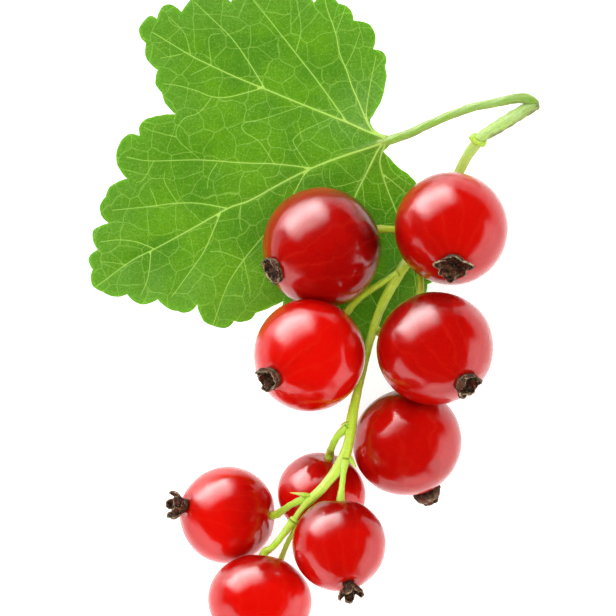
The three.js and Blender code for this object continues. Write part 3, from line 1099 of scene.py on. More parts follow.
BERRIES = (
    Berry(
        1, (1.25, 6.27, 6.4), 5.95, 0.97, stalk=(0.93, 0.27, -0.22), calyx_way=(-0.79, -0.37, 0.49),
        calyx=Calyx("calyx_1", CalyxForm.BUTTON, 1.2, 20, 0.4),
        ripeness=Ripeness.DARKEST, plump=0.12, nudge=(0.14, -0.22, -0.1),
    ),
    Berry(
        2, (14.3, 7.95, 8.2), 5.6, 0.98, stalk=(-0.03, 0.67, -0.74), calyx_way=(0.01, -0.62, 0.78),
        calyx=Calyx("calyx_2", CalyxForm.CROWN, 1.0, 0, 0.9, (0.6, 2.0, 0.4, 0.4, 1.9)),
        ripeness=Ripeness.FULL,
    ),
    Berry(
        3, (0.15, -4.7, 9.98), 5.53, 0.98, stalk=(0.55, 0.62, -0.56), calyx_way=(-0.65, -0.38, 0.66),
        calyx=Calyx("calyx_3", CalyxForm.BUTTON, 0.95, 15, 0.95, (2.0, 0.8, 1.1, 0.9, 0.8)),
        ripeness=Ripeness.LIGHT,
    ),
    Berry(
        4, (12.65, -4.03, 10.5), 5.72, 0.95, stalk=(-0.26, 0.9, -0.34), calyx_way=(0.51, -0.58, 0.64),
        calyx=Calyx("calyx_4", CalyxForm.BUTTON, 1.05, 0, 0.8),
        ripeness=Ripeness.DARK, plump=0.14, flat_to_stalk=True,
    ),
    Berry(
        5, (10.04, -13.66, 5.37), 5.37, 0.96, stalk=(-0.1, 0.93, -0.35), calyx_way=(0.35, -0.88, -0.32),
        calyx=Calyx("calyx_5", CalyxForm.SKIRT, 1.3, 0, 0.8),
        ripeness=Ripeness.DARK, plump=0.14, nudge=(-0.08, 0.2, 0.15),
    ),
    Berry(
        6, (1.34, -18.72, 4.28), 4.33, 0.92, stalk=(0.2, 0.95, 0.22), calyx_way=(-0.2, -0.8, -0.5),
        calyx=Calyx("calyx_6", CalyxForm.BUTTON, 0.85, 0),
        ripeness=Ripeness.LIGHT, nudge=(0.0, 0.0, 0.15),
    ),
    Berry(
        7, (-8.08, -20.9, 4.72), 4.72, 0.98, stalk=(0.97, 0.02, 0.25), calyx_way=(-0.88, 0.2, 0.42),
        calyx=Calyx("calyx_7", CalyxForm.LOBES, 0.95, 0),
        ripeness=Ripeness.LIGHT, plump=0.14, nudge=(0.0, 0.1, 0.15),
    ),
    Berry(
        8, (3.08, -23.52, 11.7), 4.57, 0.98, stalk=(0.04, 0.99, -0.08), calyx_way=(0.21, -0.84, 0.5),
        calyx=Calyx("calyx_8", CalyxForm.LOBES, 0.85, 35),
        ripeness=Ripeness.FULL,
    ),
    Berry(
        9, (-4.84, -28.96, 9.4), 5.14, 0.87, stalk=(0.1, 0.97, -0.2), calyx_way=(-0.08, -0.95, 0.25),
        calyx=Calyx("calyx_9", CalyxForm.LOBES, 0.85, 0),
        ripeness=Ripeness.LIGHT, plump=0.05, nudge=(0.0, -0.2, 0.0),
    ),
)


# ---- stalks ------------------------------------------------------------------------------


@dataclass(frozen=True)
class Stalk:
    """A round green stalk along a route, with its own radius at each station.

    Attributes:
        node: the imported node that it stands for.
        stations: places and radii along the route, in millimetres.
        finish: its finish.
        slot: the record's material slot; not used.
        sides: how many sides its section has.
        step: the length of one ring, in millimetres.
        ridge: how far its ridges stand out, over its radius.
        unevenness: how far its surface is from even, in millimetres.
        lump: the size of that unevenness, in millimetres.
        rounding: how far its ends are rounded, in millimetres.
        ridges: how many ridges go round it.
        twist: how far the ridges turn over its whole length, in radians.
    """

    node: str
    stations: tuple[Station, ...]
    finish: GreenStalk
    slot: Slot
    sides: int = 24
    step: float = 0.28
    ridge: float = 0.05
    unevenness: float = 0.09
    lump: float = 0.9
    rounding: float = 0.3
    ridges: int = 5
    twist: float = 40.0

    def build(self, layout: Layout) -> bpy.types.Object:
        """Makes the stalk straight and bends it onto its route.

        Args:
            layout: where the sprig lies in the frame.

        Returns:
            The finished piece.
        """
        route = self.route(layout)
        length = route.data.splines[0].calc_length()
        bench = self.straight(length)
        bench.modify("CURVE", object=route, deform_axis="POS_Z")
        bpy.data.objects.remove(route)
        bench.roughen(self.lump * MM, self.unevenness * MM)
        bench.smooth()
        store_facing(bench.obj.data)
        bench.obj.data.materials.append(dressing(self.finish))
        return bench.obj

    def route(self, layout: Layout) -> bpy.types.Object:
        """Makes the smooth curve through the stations, with the radius at each."""
        Bench.clear()
        bpy.ops.curve.primitive_bezier_curve_add()
        curve = bpy.context.object
        curve.location = (0, 0, 0)
        curve.data.dimensions = "3D"
        curve.data.twist_mode = "MINIMUM"
        curve.data.use_radius = True
        curve.data.resolution_u = 24
        spline = curve.data.splines[0]
        spline.bezier_points.add(len(self.stations) - len(spline.bezier_points))
        for bezier, (place, radius) in zip(spline.bezier_points, self.stations):
            bezier.co = layout.place(place)
            bezier.handle_left_type = "AUTO"
            bezier.handle_right_type = "AUTO"
            bezier.radius = radius
        bpy.context.view_layer.update()
        return curve

    def straight(self, length: float) -> Bench:
        """Makes the straight stalk along +Z by drawing a circle out ring by ring.

        Args:
            length: the stalk's length, in metres.

        Returns:
            The stalk on the bench, with its ends rounded and its flow stored.
        """
        rings = max(6, round(length / (self.step * MM)))
        lift = length / rings
        Bench.clear()
        bpy.ops.mesh.primitive_circle_add(vertices=self.sides, radius=MM, fill_type="NGON")
        bench = Bench(f"green_{self.node}")
        bench.open()
        bpy.ops.mesh.flip_normals()
        for _ in range(rings):
            bpy.ops.mesh.extrude_region_move(TRANSFORM_OT_translate={"value": (0, 0, lift)})
        for end in (0, length):
            bench.pick(lambda co: abs(co.z - end) < SAME_LEVEL)
            bpy.ops.mesh.bevel(offset=self.rounding * MM, segments=3, affect="EDGES")
        bpy.ops.mesh.select_all(action="SELECT")
        bpy.ops.mesh.normals_make_consistent(inside=False)
        bench.close()
        co = places(bench.obj.data)
        radius = np.maximum(np.hypot(co[:, 0], co[:, 1]), 1e-9)
        flow = np.column_stack((co[:, 0] / radius, co[:, 1] / radius, co[:, 2] / length))
        store(bench.obj.data, "flow", flow)
        angle = np.arctan2(co[:, 1], co[:, 0])
        swell = 1 + self.ridge * np.cos(self.ridges * angle + self.twist * co[:, 2] / (length + 1e-9))
        co[:, :2] *= swell[:, None]
        bench.obj.data.vertices.foreach_set("co", co.astype(np.float32).ravel())
        return bench


MAIN_STEM: tuple[Station, ...] = (
    ((17.4, 17.2, 2.9), 0.58),
    ((16.2, 15.5, 2.55), 0.52),
    ((15.2, 13.6, 2.25), 0.5),
    ((14.1, 11.3, 2.05), 0.5),
    ((12.2, 8.0, 2.05), 0.52),
    ((10.2, 5.1, 2.7), 0.62),
    ((8.7, 2.6, 3.8), 0.52),
    ((7.3, 0.0, 5.0), 0.45),
    ((6.4, -2.7, 6.2), 0.42),
    ((5.7, -5.4, 7.2), 0.37),
    ((5.0, -8.2, 8.0), 0.4),
    ((4.4, -11.0, 8.7), 0.56),
    ((4.1, -13.1, 9.1), 0.5),
    ((3.4, -15.3, 9.4), 0.62),
    ((1.75, -17.6, 9.5), 0.46),
    ((0.25, -19.1, 9.45), 0.5),
    ((-0.75, -20.2, 9.35), 0.28),
    ((-1.7, -21.7, 9.2), 0.3),
)
SPUR_SHOOT: tuple[Station, ...] = (
    ((23.3, 20.35, 3.1), 0.36),
    ((22.85, 20.35, 3.2), 0.54),
    ((21.9, 19.95, 3.3), 0.66),
    ((20.4, 19.05, 3.2), 0.7),
    ((18.8, 18.05, 3.0), 0.66),
    ((17.7, 17.4, 2.93), 0.58),
    ((16.9, 16.6, 2.8), 0.44),
)
PETIOLE: tuple[Station, ...] = (
    ((23.15, 20.5, 3.2), 0.36),
    ((22.6, 20.85, 3.35), 0.5),
    ((21.8, 21.1, 3.5), 0.54),
    ((20.9, 21.1, 3.65), 0.5),
    ((19.3, 20.75, 3.75), 0.46),
    ((16.4, 20.15, 3.7), 0.44),
    ((13.2, 18.95, 3.4), 0.43),
    ((10.2, 17.6, 3.1), 0.45),
    ((8.5, 17.0, 2.8), 0.48),
    ((7.5, 16.72, 2.42), 0.42),
    ((6.5, 16.35, 1.9), 0.16),
)
PEDICEL_ROUTES: tuple[tuple[Point, ...], ...] = (
    ((11.2, 6.6, 2.4), (10.5, 7.4, 3.2), (9.2, 7.8, 4.6)),
    ((14.5, 12.1, 2.2), (14.25, 12.1, 3.3)),
    ((9.3, 3.5, 3.5), (7.9, 2.8, 4.0), (6.7, 2.05, 4.9), (5.2, 1.0, 5.9)),
    ((10.0, 4.8, 2.8), (11.1, 3.9, 4.5), (11.25, 3.0, 5.9), (11.3, 2.1, 7.2)),
    ((6.6, -2.0, 6.0), (7.7, -2.9, 5.0), (8.7, -4.4, 4.1), (9.3, -6.4, 3.5)),
    ((4.1, -11.7, 8.9), (2.95, -12.8, 8.8), (2.4, -13.9, 7.6)),
    ((0.1, -18.9, 9.4), (-1.4, -19.5, 8.55), (-2.1, -19.95, 7.7)),
    ((3.7, -15.0, 9.5), (3.5, -16.6, 10.5), (3.36, -17.9, 11.1)),
    ((-1.3, -21.0, 9.3), (-2.4, -22.5, 9.15), (-3.7, -24.0, 8.9)),
)
BARE_PEDICEL: tuple[Station, ...] = (
    ((-1.1, -21.2, 9.1), 0.26),
    ((-1.5, -22.4, 8.6), 0.25),
    ((-1.95, -23.3, 7.9), 0.25),
    ((-2.4, -24.4, 6.6), 0.27),
    ((-2.8, -25.5, 5.3), 0.32),
)


def pedicel(berry: Berry, route: tuple[Point, ...]) -> Stalk:
    """Gives the pedicel that ends in a berry's dimple.

    Args:
        berry: the berry.
        route: places from inside the main stem towards the berry, in millimetres.

    Returns:
        The pedicel, thicker at both ends.
    """
    thin, foot, seat = (0.28 if berry.number == 8 else 0.34), 0.5, 0.52
    way = Vector(berry.stalk).normalized()
    centre = Vector(berry.at)
    skin = berry.radius * berry.tall
    ends = [tuple(centre + way * (skin + off)) for off in (0.15, -0.6)]
    radii = [foot] + [thin] * (len(route) - 1) + [seat * 0.8, seat]
    stations = tuple(zip((*route, *ends), radii))
    finish = PEDICEL_OLIVE if berry.number <= 5 else PEDICEL_LIME
    return Stalk(f"pedicel_{berry.number}", stations, finish, Slot.STEM_GREEN, sides=18, step=0.25)


# ---- leaf --------------------------------------------------------------------------------


@dataclass(frozen=True)
class Vein:
    """A vein of the leaf.

    Attributes:
        points: places along it, from the thick end, in millimetres.
        wide: its width at the thick end, in millimetres.
        narrow: its width at the thin end, in millimetres.
    """

    points: tuple[Spot, ...]
    wide: float
    narrow: float


@dataclass(frozen=True)
class Leaf:
    """The lobed blade, with rounded teeth and a net of veins.

    Attributes:
        margin: the notches between the teeth, clockwise from above, in millimetres, each with
            how far the tooth after it bulges over the distance to the next notch.
        main_veins: the veins that are drawn broad and bright.
        small_veins: the veins that are drawn fine and faint.
        node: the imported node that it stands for.
        thickness: its thickness, in millimetres.
        grid: the distance between the points of its net, in millimetres.
        foot: where the petiole joins it, in millimetres.
        foot_rise: how high it stands at the foot, in millimetres.
        foot_reach: how far from the foot it is raised, in millimetres.
        centre: the middle of the blade, in millimetres.
        margin_lift: how far its wavy margin rises, in millimetres.
        quilting: how far it bulges between the veins, in millimetres.
        rib: how far the main veins stand out near the foot, in millimetres.
        margin_step: the distance between the points of its margin, in millimetres.
        tooth_roundness: how blunt its teeth are; less is blunter.
        tooth_wobble: how uneven its teeth are, over their length.
        net_shake: how far the points of its net are off their rows, in millimetres.
        clearance: how near a point of the net may come to a vein, over the net's distance.
        seed: what its random numbers start from.
    """

    margin: tuple[tuple[float, float, float], ...]
    main_veins: tuple[Vein, ...]
    small_veins: tuple[Vein, ...]
    node: str = "leaf_blade"
    thickness: float = 0.26
    grid: float = 0.21
    foot: Spot = (7.9, 16.95)
    foot_rise: float = 2.5
    foot_reach: float = 8.5
    centre: Spot = (-0.8, 14.0)
    margin_lift: float = 0.8
    quilting: float = 0.16
    rib: float = 0.34
    margin_step: float = 0.22
    tooth_roundness: float = 0.85
    tooth_wobble: float = 0.05
    net_shake: float = 0.02
    clearance: float = 0.55
    seed: int = 7

    def build(self, layout: Layout) -> bpy.types.Object:
        """Makes the blade from its margin, its veins and an even net of points between them.

        Args:
            layout: where the sprig lies in the frame.

        Returns:
            The finished piece.
        """
        outline = self.outline()
        spots, triangles = self.net(outline)
        flat = np.array(spots)
        to_main = self.closeness(flat, self.main_veins)
        to_small = self.closeness(flat, self.small_veins)
        to_margin = self.margin_distance(flat, outline)
        height = self.height(flat, to_main[0], to_small[0], to_margin)
        from_foot = np.hypot(flat[:, 0] - self.foot[0], flat[:, 1] - self.foot[1])
        rib = self.rib * np.exp(-((to_main[0] / 0.34) ** 2)) * np.clip(1 - from_foot / 6.0, 0, 1)
        top = np.column_stack((flat, height + self.thickness + rib))
        thin = self.thickness * (0.45 + 0.55 * np.clip(to_margin / 0.6, 0, 1))
        bottom = np.column_stack((flat, height + self.thickness - thin))
        bottom[:, 2] = np.maximum(bottom[:, 2], 0.0)
        mesh = self.close_shell(top, bottom, triangles)
        shift = np.array(layout.shift)
        co = places(mesh) * MM + shift
        mesh.vertices.foreach_set("co", co.astype(np.float32).ravel())
        both_faces = {
            "major_vein": to_main[1],
            "minor_vein": to_small[1],
            "to_margin": to_margin,
            "from_foot": from_foot,
        }
        for name, values in both_faces.items():
            store(mesh, name, np.tile(values, 2))
        store(mesh, "underside", np.repeat((0.0, 1.0), len(flat)))
        mesh.shade_smooth()
        mesh.materials.append(dressing(LEAF_SKIN))
        leaf = bpy.data.objects.new("lobed_blade", mesh)
        bpy.context.scene.collection.objects.link(leaf)
        return leaf

    def outline(self) -> np.ndarray:
        """Draws the margin: a round bulge between each two notches, a little uneven."""
        points = []
        for i, (x, y, bulge) in enumerate(self.margin):
            next_x, next_y, _ = self.margin[(i + 1) % len(self.margin)]
            length = math.hypot(next_x - x, next_y - y)
            count = max(3, round(length / self.margin_step))
            for k in range(count):
                t = k / count
                out = bulge * math.sin(math.pi * t) ** self.tooth_roundness
                uneven = noise.noise(Vector((x + t * 3.1, y, 0.3 * i)))
                out += self.tooth_wobble * uneven * math.sin(math.pi * t)
                points.append((x + (next_x - x) * t - out * (next_y - y), y + (next_y - y) * t + out * (next_x - x)))
        return np.array(points)

    def net(self, outline: np.ndarray) -> tuple[list[Vector], list[list[int]]]:
        """Fills the outline with triangles whose edges follow the margin and the main veins.

        Args:
            outline: the margin's points.

        Returns:
            The points, and the triangles as numbers of points.
        """
        spots = [Vector(p) for p in outline]
        edges = [(i, (i + 1) % len(outline)) for i in range(len(outline))]
        for vein in self.main_veins + self.small_veins:
            line, _ = self.resample(vein)
            inside = [p for p, within in zip(line, self.inside_many(np.array(line), outline)) if within]
            first = len(spots)
            spots.extend(Vector(p) for p in inside)
            edges.extend((i, i + 1) for i in range(first, len(spots) - 1))
        low, high = outline.min(0), outline.max(0)
        row_step = self.grid * math.sqrt(3) / 2
        chance = random.Random(self.seed)
        taken = np.array([tuple(s) for s in spots])
        grid = []
        for row in range(int((high[1] - low[1]) / row_step) + 1):
            y = low[1] + row * row_step
            for column in range(int((high[0] - low[0]) / self.grid) + 1):
                x = low[0] + (column + 0.5 * (row % 2)) * self.grid
                grid.append(tuple(at + chance.uniform(-self.net_shake, self.net_shake) for at in (x, y)))
        grid = np.array(grid)
        grid = grid[self.inside_many(grid, outline)]
        keep = np.ones(len(grid), bool)
        for start in range(0, len(grid), SPOTS_AT_ONCE):
            batch = slice(start, start + SPOTS_AT_ONCE)
            gap = np.min(np.linalg.norm(grid[batch][:, None] - taken[None], axis=2), axis=1)
            keep[batch] = gap > self.clearance * self.grid
        spots.extend(Vector(p) for p in grid[keep])
        result = delaunay_2d_cdt(spots, edges, [list(range(len(outline)))], 1, 1e-6)
        return [tuple(v) for v in result[0]], [list(f) for f in result[2]]

    @staticmethod
    def inside_many(spots: np.ndarray, outline: np.ndarray) -> np.ndarray:
        """Says of each spot whether it is inside the outline."""
        inside = np.zeros(len(spots), bool)
        across, up = spots[:, 0], spots[:, 1]
        for (x0, y0), (x1, y1) in zip(outline, np.roll(outline, -1, axis=0)):
            if y0 != y1:
                crosses = (up > min(y0, y1)) & (up <= max(y0, y1))
                inside ^= crosses & (across < x0 + (up - y0) * (x1 - x0) / (y1 - y0))
        return inside

    @staticmethod
    def resample(vein: Vein, step: float = 0.3) -> tuple[list[Spot], list[float]]:
        """Draws a smooth line through a vein's points.

        Args:
            vein: the vein.
            step: the distance between two points of the line, in millimetres.

        Returns:
            The line's points, and half of the vein's width at each.
        """
        points = [Vector(p) for p in vein.points]
        points = [2 * points[0] - points[1], *points, 2 * points[-1] - points[-2]]
        line = []
        for before, start, end, after in zip(points, points[1:], points[2:], points[3:]):
            count = max(1, round((end - start).length / step))
            for k in range(count):
                t = k / count
                line.append(
                    0.5
                    * (
                        2 * start
                        + (end - before) * t
                        + (2 * before - 5 * start + 4 * end - after) * t * t
                        + (3 * start - before - 3 * end + after) * t**3
                    )
                )
        line.append(points[-2])
        share = [k / (len(line) - 1) for k in range(len(line))]
        halves = [(vein.wide + (vein.narrow - vein.wide) * s) / 2 for s in share]
        return [tuple(p) for p in line], halves

    def closeness(self, spots: np.ndarray, veins: Iterable[Vein]) -> tuple[np.ndarray, np.ndarray]:
        """Measures how close each spot is to the nearest of some veins.

        Args:
            spots: places on the blade.
            veins: the veins.

        Returns:
            The distance in millimetres, and the distance over half of the vein's width, up to 6.
        """
        starts, ends, halves = [], [], []
        for vein in veins:
            line, half = self.resample(vein)
            starts += line[:-1]
            ends += line[1:]
            halves += half[:-1]
        a, b, h = np.array(starts), np.array(ends), np.array(halves)
        way = b - a
        squared = np.maximum((way**2).sum(1), 1e-12)
        distance, ratio = np.empty(len(spots)), np.empty(len(spots))
        for start in range(0, len(spots), SPOTS_AT_ONCE):
            batch = slice(start, start + SPOTS_AT_ONCE)
            part = spots[batch, None, :] - a[None]
            t = np.clip((part * way).sum(2) / squared, 0, 1)
            gap = np.linalg.norm(part - t[..., None] * way, axis=2)
            distance[batch] = gap.min(1)
            ratio[batch] = (gap / h).min(1)
        return distance, np.minimum(ratio, 6.0)

    @staticmethod
    def margin_distance(spots: np.ndarray, outline: np.ndarray) -> np.ndarray:
        """Measures how far each spot is from the margin, in millimetres."""
        distance = np.empty(len(spots))
        for start in range(0, len(spots), SPOTS_AT_ONCE):
            batch = slice(start, start + SPOTS_AT_ONCE)
            distance[batch] = np.linalg.norm(spots[batch][:, None] - outline[None], axis=2).min(1)
        return distance

    def height(
        self, spots: np.ndarray, to_main: np.ndarray, to_small: np.ndarray, to_margin: np.ndarray
    ) -> np.ndarray:
        """Gives the height of the blade's underside.

        Args:
            spots: places on the blade.
            to_main: distances to the main veins, in millimetres.
            to_small: distances to the small veins, in millimetres.
            to_margin: distances to the margin, in millimetres.

        Returns:
            Heights above the surface, in millimetres.
        """
        x, y = spots[:, 0], spots[:, 1]
        from_foot = np.hypot(x - self.foot[0], y - self.foot[1])
        climb = self.foot_rise * np.maximum(0, 1 - from_foot / self.foot_reach) ** 1.6
        angle = np.arctan2(y - self.centre[1], x - self.centre[0])
        wave = 0.5 + 0.5 * np.sin(5 * angle + 0.6)
        near_margin = np.clip(1 - to_margin / 6.0, 0, 1)
        away = np.clip((from_foot - 5) / 6, 0, 1)
        lift = self.margin_lift * wave * near_margin**1.5 * away
        puff = (1 - np.exp(-to_main / 1.3)) * 0.75 + (1 - np.exp(-to_small / 0.6)) * 0.25
        quilt = self.quilting * puff * np.clip(to_margin / 1.5, 0, 1)
        return climb + lift + quilt

    @staticmethod
    def close_shell(top: np.ndarray, bottom: np.ndarray, triangles: list[list[int]]) -> bpy.types.Mesh:
        """Joins an upper and a lower face by a wall round their edge.

        Args:
            top: the upper face's points.
            bottom: the lower face's points, in the same order.
            triangles: the upper face's triangles, as numbers of points.

        Returns:
            The closed mesh.
        """
        count = len(top)
        first = triangles[0]
        across = np.cross(top[first[1]] - top[first[0]], top[first[2]] - top[first[0]])
        upper = triangles if across[2] > 0 else [t[::-1] for t in triangles]
        lower = [[i + count for i in t[::-1]] for t in upper]
        sides = {}
        for triangle in upper:
            for a, b in zip(triangle, triangle[1:] + triangle[:1]):
                sides[(a, b)] = sides.get((a, b), 0) + 1
        rim = [(a, b) for a, b in sides if (b, a) not in sides]
        wall = [[a, a + count, b + count, b] for a, b in rim]
        mesh = bpy.data.meshes.new("lobed_blade")
        mesh.from_pydata(np.vstack((top, bottom)).tolist(), [], upper + lower + wall)
        mesh.validate()
        return mesh


LEAF_MARGIN = (
    (7.6, 15.8, 0), (9.3, 14.1, 0.05), (11, 12.6, 0.16), (12.6, 9.4, 0.2), (13.2, 6.4, 0.2),
    (13, 4.1, 0.25), (12.1, 2.4, 0.2), (10.5, 0.6, 0.22), (8.4, -0.8, 0.22), (6.5, -2.8, 0.2),
    (5.4, -5.3, 0.24), (4.3, -7.6, 0.26), (2.2, -9.1, 0.3), (-0.2, -9, 0.28), (-1.6, -6.9, 0.22),
    (-2.4, -4.3, 0.14), (-2.5, -1.7, 0.06), (-2.5, 0.7, 0.03), (-5.3, -0.5, 0.2), (-7.5, -1.3, 0.2),
    (-8.9, -2, 0.2), (-11.2, 0.4, 0.24), (-13.2, -0.3, 0.13), (-15.2, 0.9, 0.26), (-18.3, 1.4, 0.16),
    (-20.7, 1.6, 0.3), (-21.8, 3.9, 0.33), (-21.3, 5.9, 0.38), (-20.2, 8.6, 0.27),
    (-20.5, 11.3, 0.17), (-18.3, 13.1, 0.19), (-19.1, 16.6, 0.26), (-17, 17.4, 0.3),
    (-15.8, 19.3, 0.05), (-13.4, 19.6, 0.08), (-14.8, 21.8, 0.19), (-15.2, 24.1, 0.2),
    (-16.4, 26.8, 0.28), (-16.5, 29.2, 0.28), (-15.3, 29.3, 0.44), (-12.8, 30, 0.3),
    (-7.8, 31, 0.26), (-3.1, 32.1, 0.24), (0.6, 30.9, 0.32), (3.1, 30.8, 0.22), (4.6, 29.1, 0.33),
    (6.6, 26.2, 0.35), (7.8, 24.5, 0.08), (7.3, 20.7, 0.04), (6.3, 19.1, -0.12), (6.7, 18, -0.1),
    (8.3, 17.4, 0), (8.3, 16.5, 0),
)
MAIN_VEINS = (
    Vein(((7.9, 16.9), (6.5, 16.3), (3.3, 15.3), (0.2, 14.1), (-2.8, 12.6), (-5.9, 10.9), (-8.1, 10.1),
          (-12.0, 7.9), (-15.5, 6.0), (-18.0, 4.7), (-21.4, 2.2)), 0.42, 0.12),
    Vein(((7.9, 17.1), (5.9, 17.9), (3.7, 18.9), (-0.5, 20.6), (-4.4, 22.2), (-7.3, 23.4), (-9.9, 24.6),
          (-11.9, 25.6), (-15.7, 27.9)), 0.4, 0.12),
    Vein(((7.9, 17.2), (6.9, 17.7), (6.1, 18.5), (5.2, 20.7), (4.5, 22.3), (3.9, 24.1), (3.2, 25.8),
          (2.8, 27.8), (1.9, 30.4), (1.7, 31.6)), 0.3, 0.1),
    Vein(((7.8, 16.8), (7.1, 16.0), (6.0, 13.8), (4.7, 11.1), (3.7, 7.9), (3.0, 4.4), (2.5, 0.8),
          (2.0, -3.7), (1.5, -9.1)), 0.36, 0.12),
    Vein(((7.9, 16.8), (7.3, 15.1), (7.4, 14.0), (8.0, 12.1), (8.8, 10.1), (9.7, 7.4), (10.5, 4.7),
          (11.0, 1.8)), 0.28, 0.1),
    Vein(((6.4, 18.1), (5.9, 19.6), (6.3, 22.6), (6.9, 25.5)), 0.16, 0.08),
    Vein(((3.9, 18.9), (1.1, 22.8), (-1.0, 25.5), (-4.0, 29.3), (-5.4, 31.0), (-6.3, 32.1)), 0.22, 0.1),
    Vein(((-4.4, 22.3), (-6.2, 25.2), (-7.7, 27.3), (-9.5, 29.1), (-11.5, 31.0)), 0.18, 0.09),
    Vein(((-4.5, 22.3), (-7.9, 21.4), (-9.7, 21.4), (-11.3, 22.0), (-13.1, 22.5), (-14.6, 22.7)), 0.17, 0.08),
    Vein(((0.3, 14.2), (-3.4, 14.6), (-6.6, 14.7), (-11.0, 15.0), (-16.0, 14.9), (-18.4, 15.3)), 0.22, 0.09),
    Vein(((-8.1, 10.1), (-11.1, 10.6), (-13.5, 10.6), (-15.9, 10.3), (-19.8, 9.9)), 0.19, 0.09),
    Vein(((-15.6, 6.0), (-17.4, 6.7), (-19.2, 6.9), (-21.0, 6.7)), 0.14, 0.08),
    Vein(((-8.9, 9.5), (-10.4, 6.0), (-11.5, 4.3), (-13.8, 1.1)), 0.17, 0.08),
    Vein(((0.2, 14.1), (-0.5, 13.3), (-1.5, 11.5), (-3.0, 9.2), (-4.7, 7.1), (-6.5, 4.9), (-8.2, 2.2),
          (-9.6, -1.7)), 0.17, 0.09),
    Vein(((-15.9, 5.7), (-16.2, 3.1), (-16.9, 1.3)), 0.13, 0.08),
    Vein(((3.5, 6.9), (1.7, 4.7), (0.0, 2.3)), 0.17, 0.08),
    Vein(((3.3, 5.9), (5.5, 2.8), (7.3, -0.4)), 0.17, 0.08),
    Vein(((7.8, 13.4), (9.7, 11.8), (11.6, 9.7)), 0.15, 0.08),
)
SMALL_VEINS = tuple(
    Vein(points, 0.13, 0.08)
    for points in (
        ((3.7, 24.3), (4.5, 25.8), (5.3, 28.0)),
        ((2.8, 27.8), (3.6, 29.9), (3.9, 30.9)),
        ((-1.2, 26.0), (-0.7, 28.2), (-1.1, 30.9), (-1.2, 31.9)),
        ((-9.7, 21.4), (-11.0, 19.8), (-12.6, 19.1), (-13.3, 17.3), (-11.0, 15.1)),
        ((-13.3, 17.3), (-15.7, 17.9), (-16.6, 18.3)),
        ((-11.9, 25.7), (-12.5, 27.8), (-14.1, 29.5)),
        ((-12.9, 25.7), (-14.9, 25.3)),
        ((-10.0, 24.5), (-11.9, 23.6)),
        ((-9.8, 24.6), (-10.0, 27.4), (-8.9, 27.8)),
        ((-3.4, 14.6), (-4.9, 16.8), (-6.5, 17.9), (-6.5, 18.7), (-4.4, 19.2), (-0.5, 20.5)),
        ((0.1, 14.3), (-1.4, 16.6), (-1.3, 17.3), (-0.2, 18.1), (2.5, 19.3)),
        ((-15.6, 14.9), (-16.6, 13.1), (-17.4, 12.7)),
        ((-9.2, 14.7), (-10.0, 13.4), (-10.2, 12.1)),
        ((-15.3, 10.3), (-15.6, 11.3), (-16.0, 12.1)),
        ((-13.2, 10.6), (-14.5, 12.7), (-14.5, 13.8)),
        ((-18.4, 4.4), (-19.8, 4.6), (-21.0, 4.7)),
        ((-6.5, 4.9), (-5.9, 2.0), (-5.9, 1.1)),
        ((-6.6, 4.9), (-8.8, 5.7), (-9.9, 5.7)),
        ((-6.8, 10.3), (-6.9, 8.7), (-6.7, 7.8)),
        ((5.5, 12.7), (5.7, 10.5), (5.5, 8.4)),
        ((5.5, 13.0), (3.0, 12.3), (2.3, 12.7), (2.2, 14.0)),
        ((2.6, 1.3), (3.7, -2.2), (5.0, -4.3)),
        ((2.5, 0.8), (0.4, -2.2), (-1.2, -4.5)),
        ((7.7, 15.8), (8.6, 13.8), (10.5, 12.4)),
        ((9.0, 9.5), (10.8, 7.7), (12.7, 6.2)),
        ((10.2, 5.7), (9.3, 2.8), (9.1, 0.8)),
    )
)


# ---- collar and bracts -------------------------------------------------------------------


@dataclass(frozen=True)
class BudCollar:
    """The ring of bud scales where the main stem leaves the spur shoot.

    Attributes:
        at: its middle, in millimetres.
        way: the direction of the stem through it.
        radius: the middle of its ring, in millimetres.
        thick: half of its thickness, in millimetres.
        node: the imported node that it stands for.
        lobes: its lobes, each with the direction in degrees, how far it is drawn out and how far
            it is raised, in millimetres.
        lobe_tip: how much of the ring is taken hold of for a lobe, in millimetres.
        lobe_reach: how far round it the ring follows, in millimetres.
    """

    at: Point = (17.2, 16.95, 2.87)
    way: Point = (-0.5, -0.7, -0.5)
    radius: float = 0.66
    thick: float = 0.26
    node: str = "bud_collar"
    lobes: tuple[Point, ...] = ((100, 0.42, -0.1), (265, 0.38, 0.12), (190, 0.12, 0.1), (10, 0.16, -0.1))
    lobe_tip: float = 0.14
    lobe_reach: float = 0.62

    def build(self, layout: Layout) -> bpy.types.Object:
        """Makes the ring and draws its lobes out of it.

        Args:
            layout: where the sprig lies in the frame.

        Returns:
            The finished piece.
        """
        Bench.clear()
        bpy.ops.mesh.primitive_torus_add(
            major_segments=48, minor_segments=14, major_radius=self.radius * MM, minor_radius=self.thick * MM
        )
        bench = Bench(f"green_{self.node}")
        bench.open()
        for turn, out, lift in self.lobes:
            way = Vector((math.cos(math.radians(turn)), math.sin(math.radians(turn)), 0))
            point = way * (self.radius + self.thick) * MM
            bench.pick(lambda co: (co - point).length < self.lobe_tip * MM)
            bench.pull((way * out + Vector((0, 0, lift))) * MM, self.lobe_reach * MM)
        bench.close()
        co = places(bench.obj.data)
        angle = np.arctan2(co[:, 1], co[:, 0])
        store(bench.obj.data, "flow", np.column_stack((np.cos(angle), np.sin(angle), co[:, 2] / MM + 0.5)))
        bench.settle(turn_to(Vector(self.way)), layout.place(self.at))
        bench.roughen(0.7 * MM, 0.12 * MM)
        bench.smooth()
        bench.obj.data.materials.append(dressing(BRACT_GREEN))
        return bench.obj


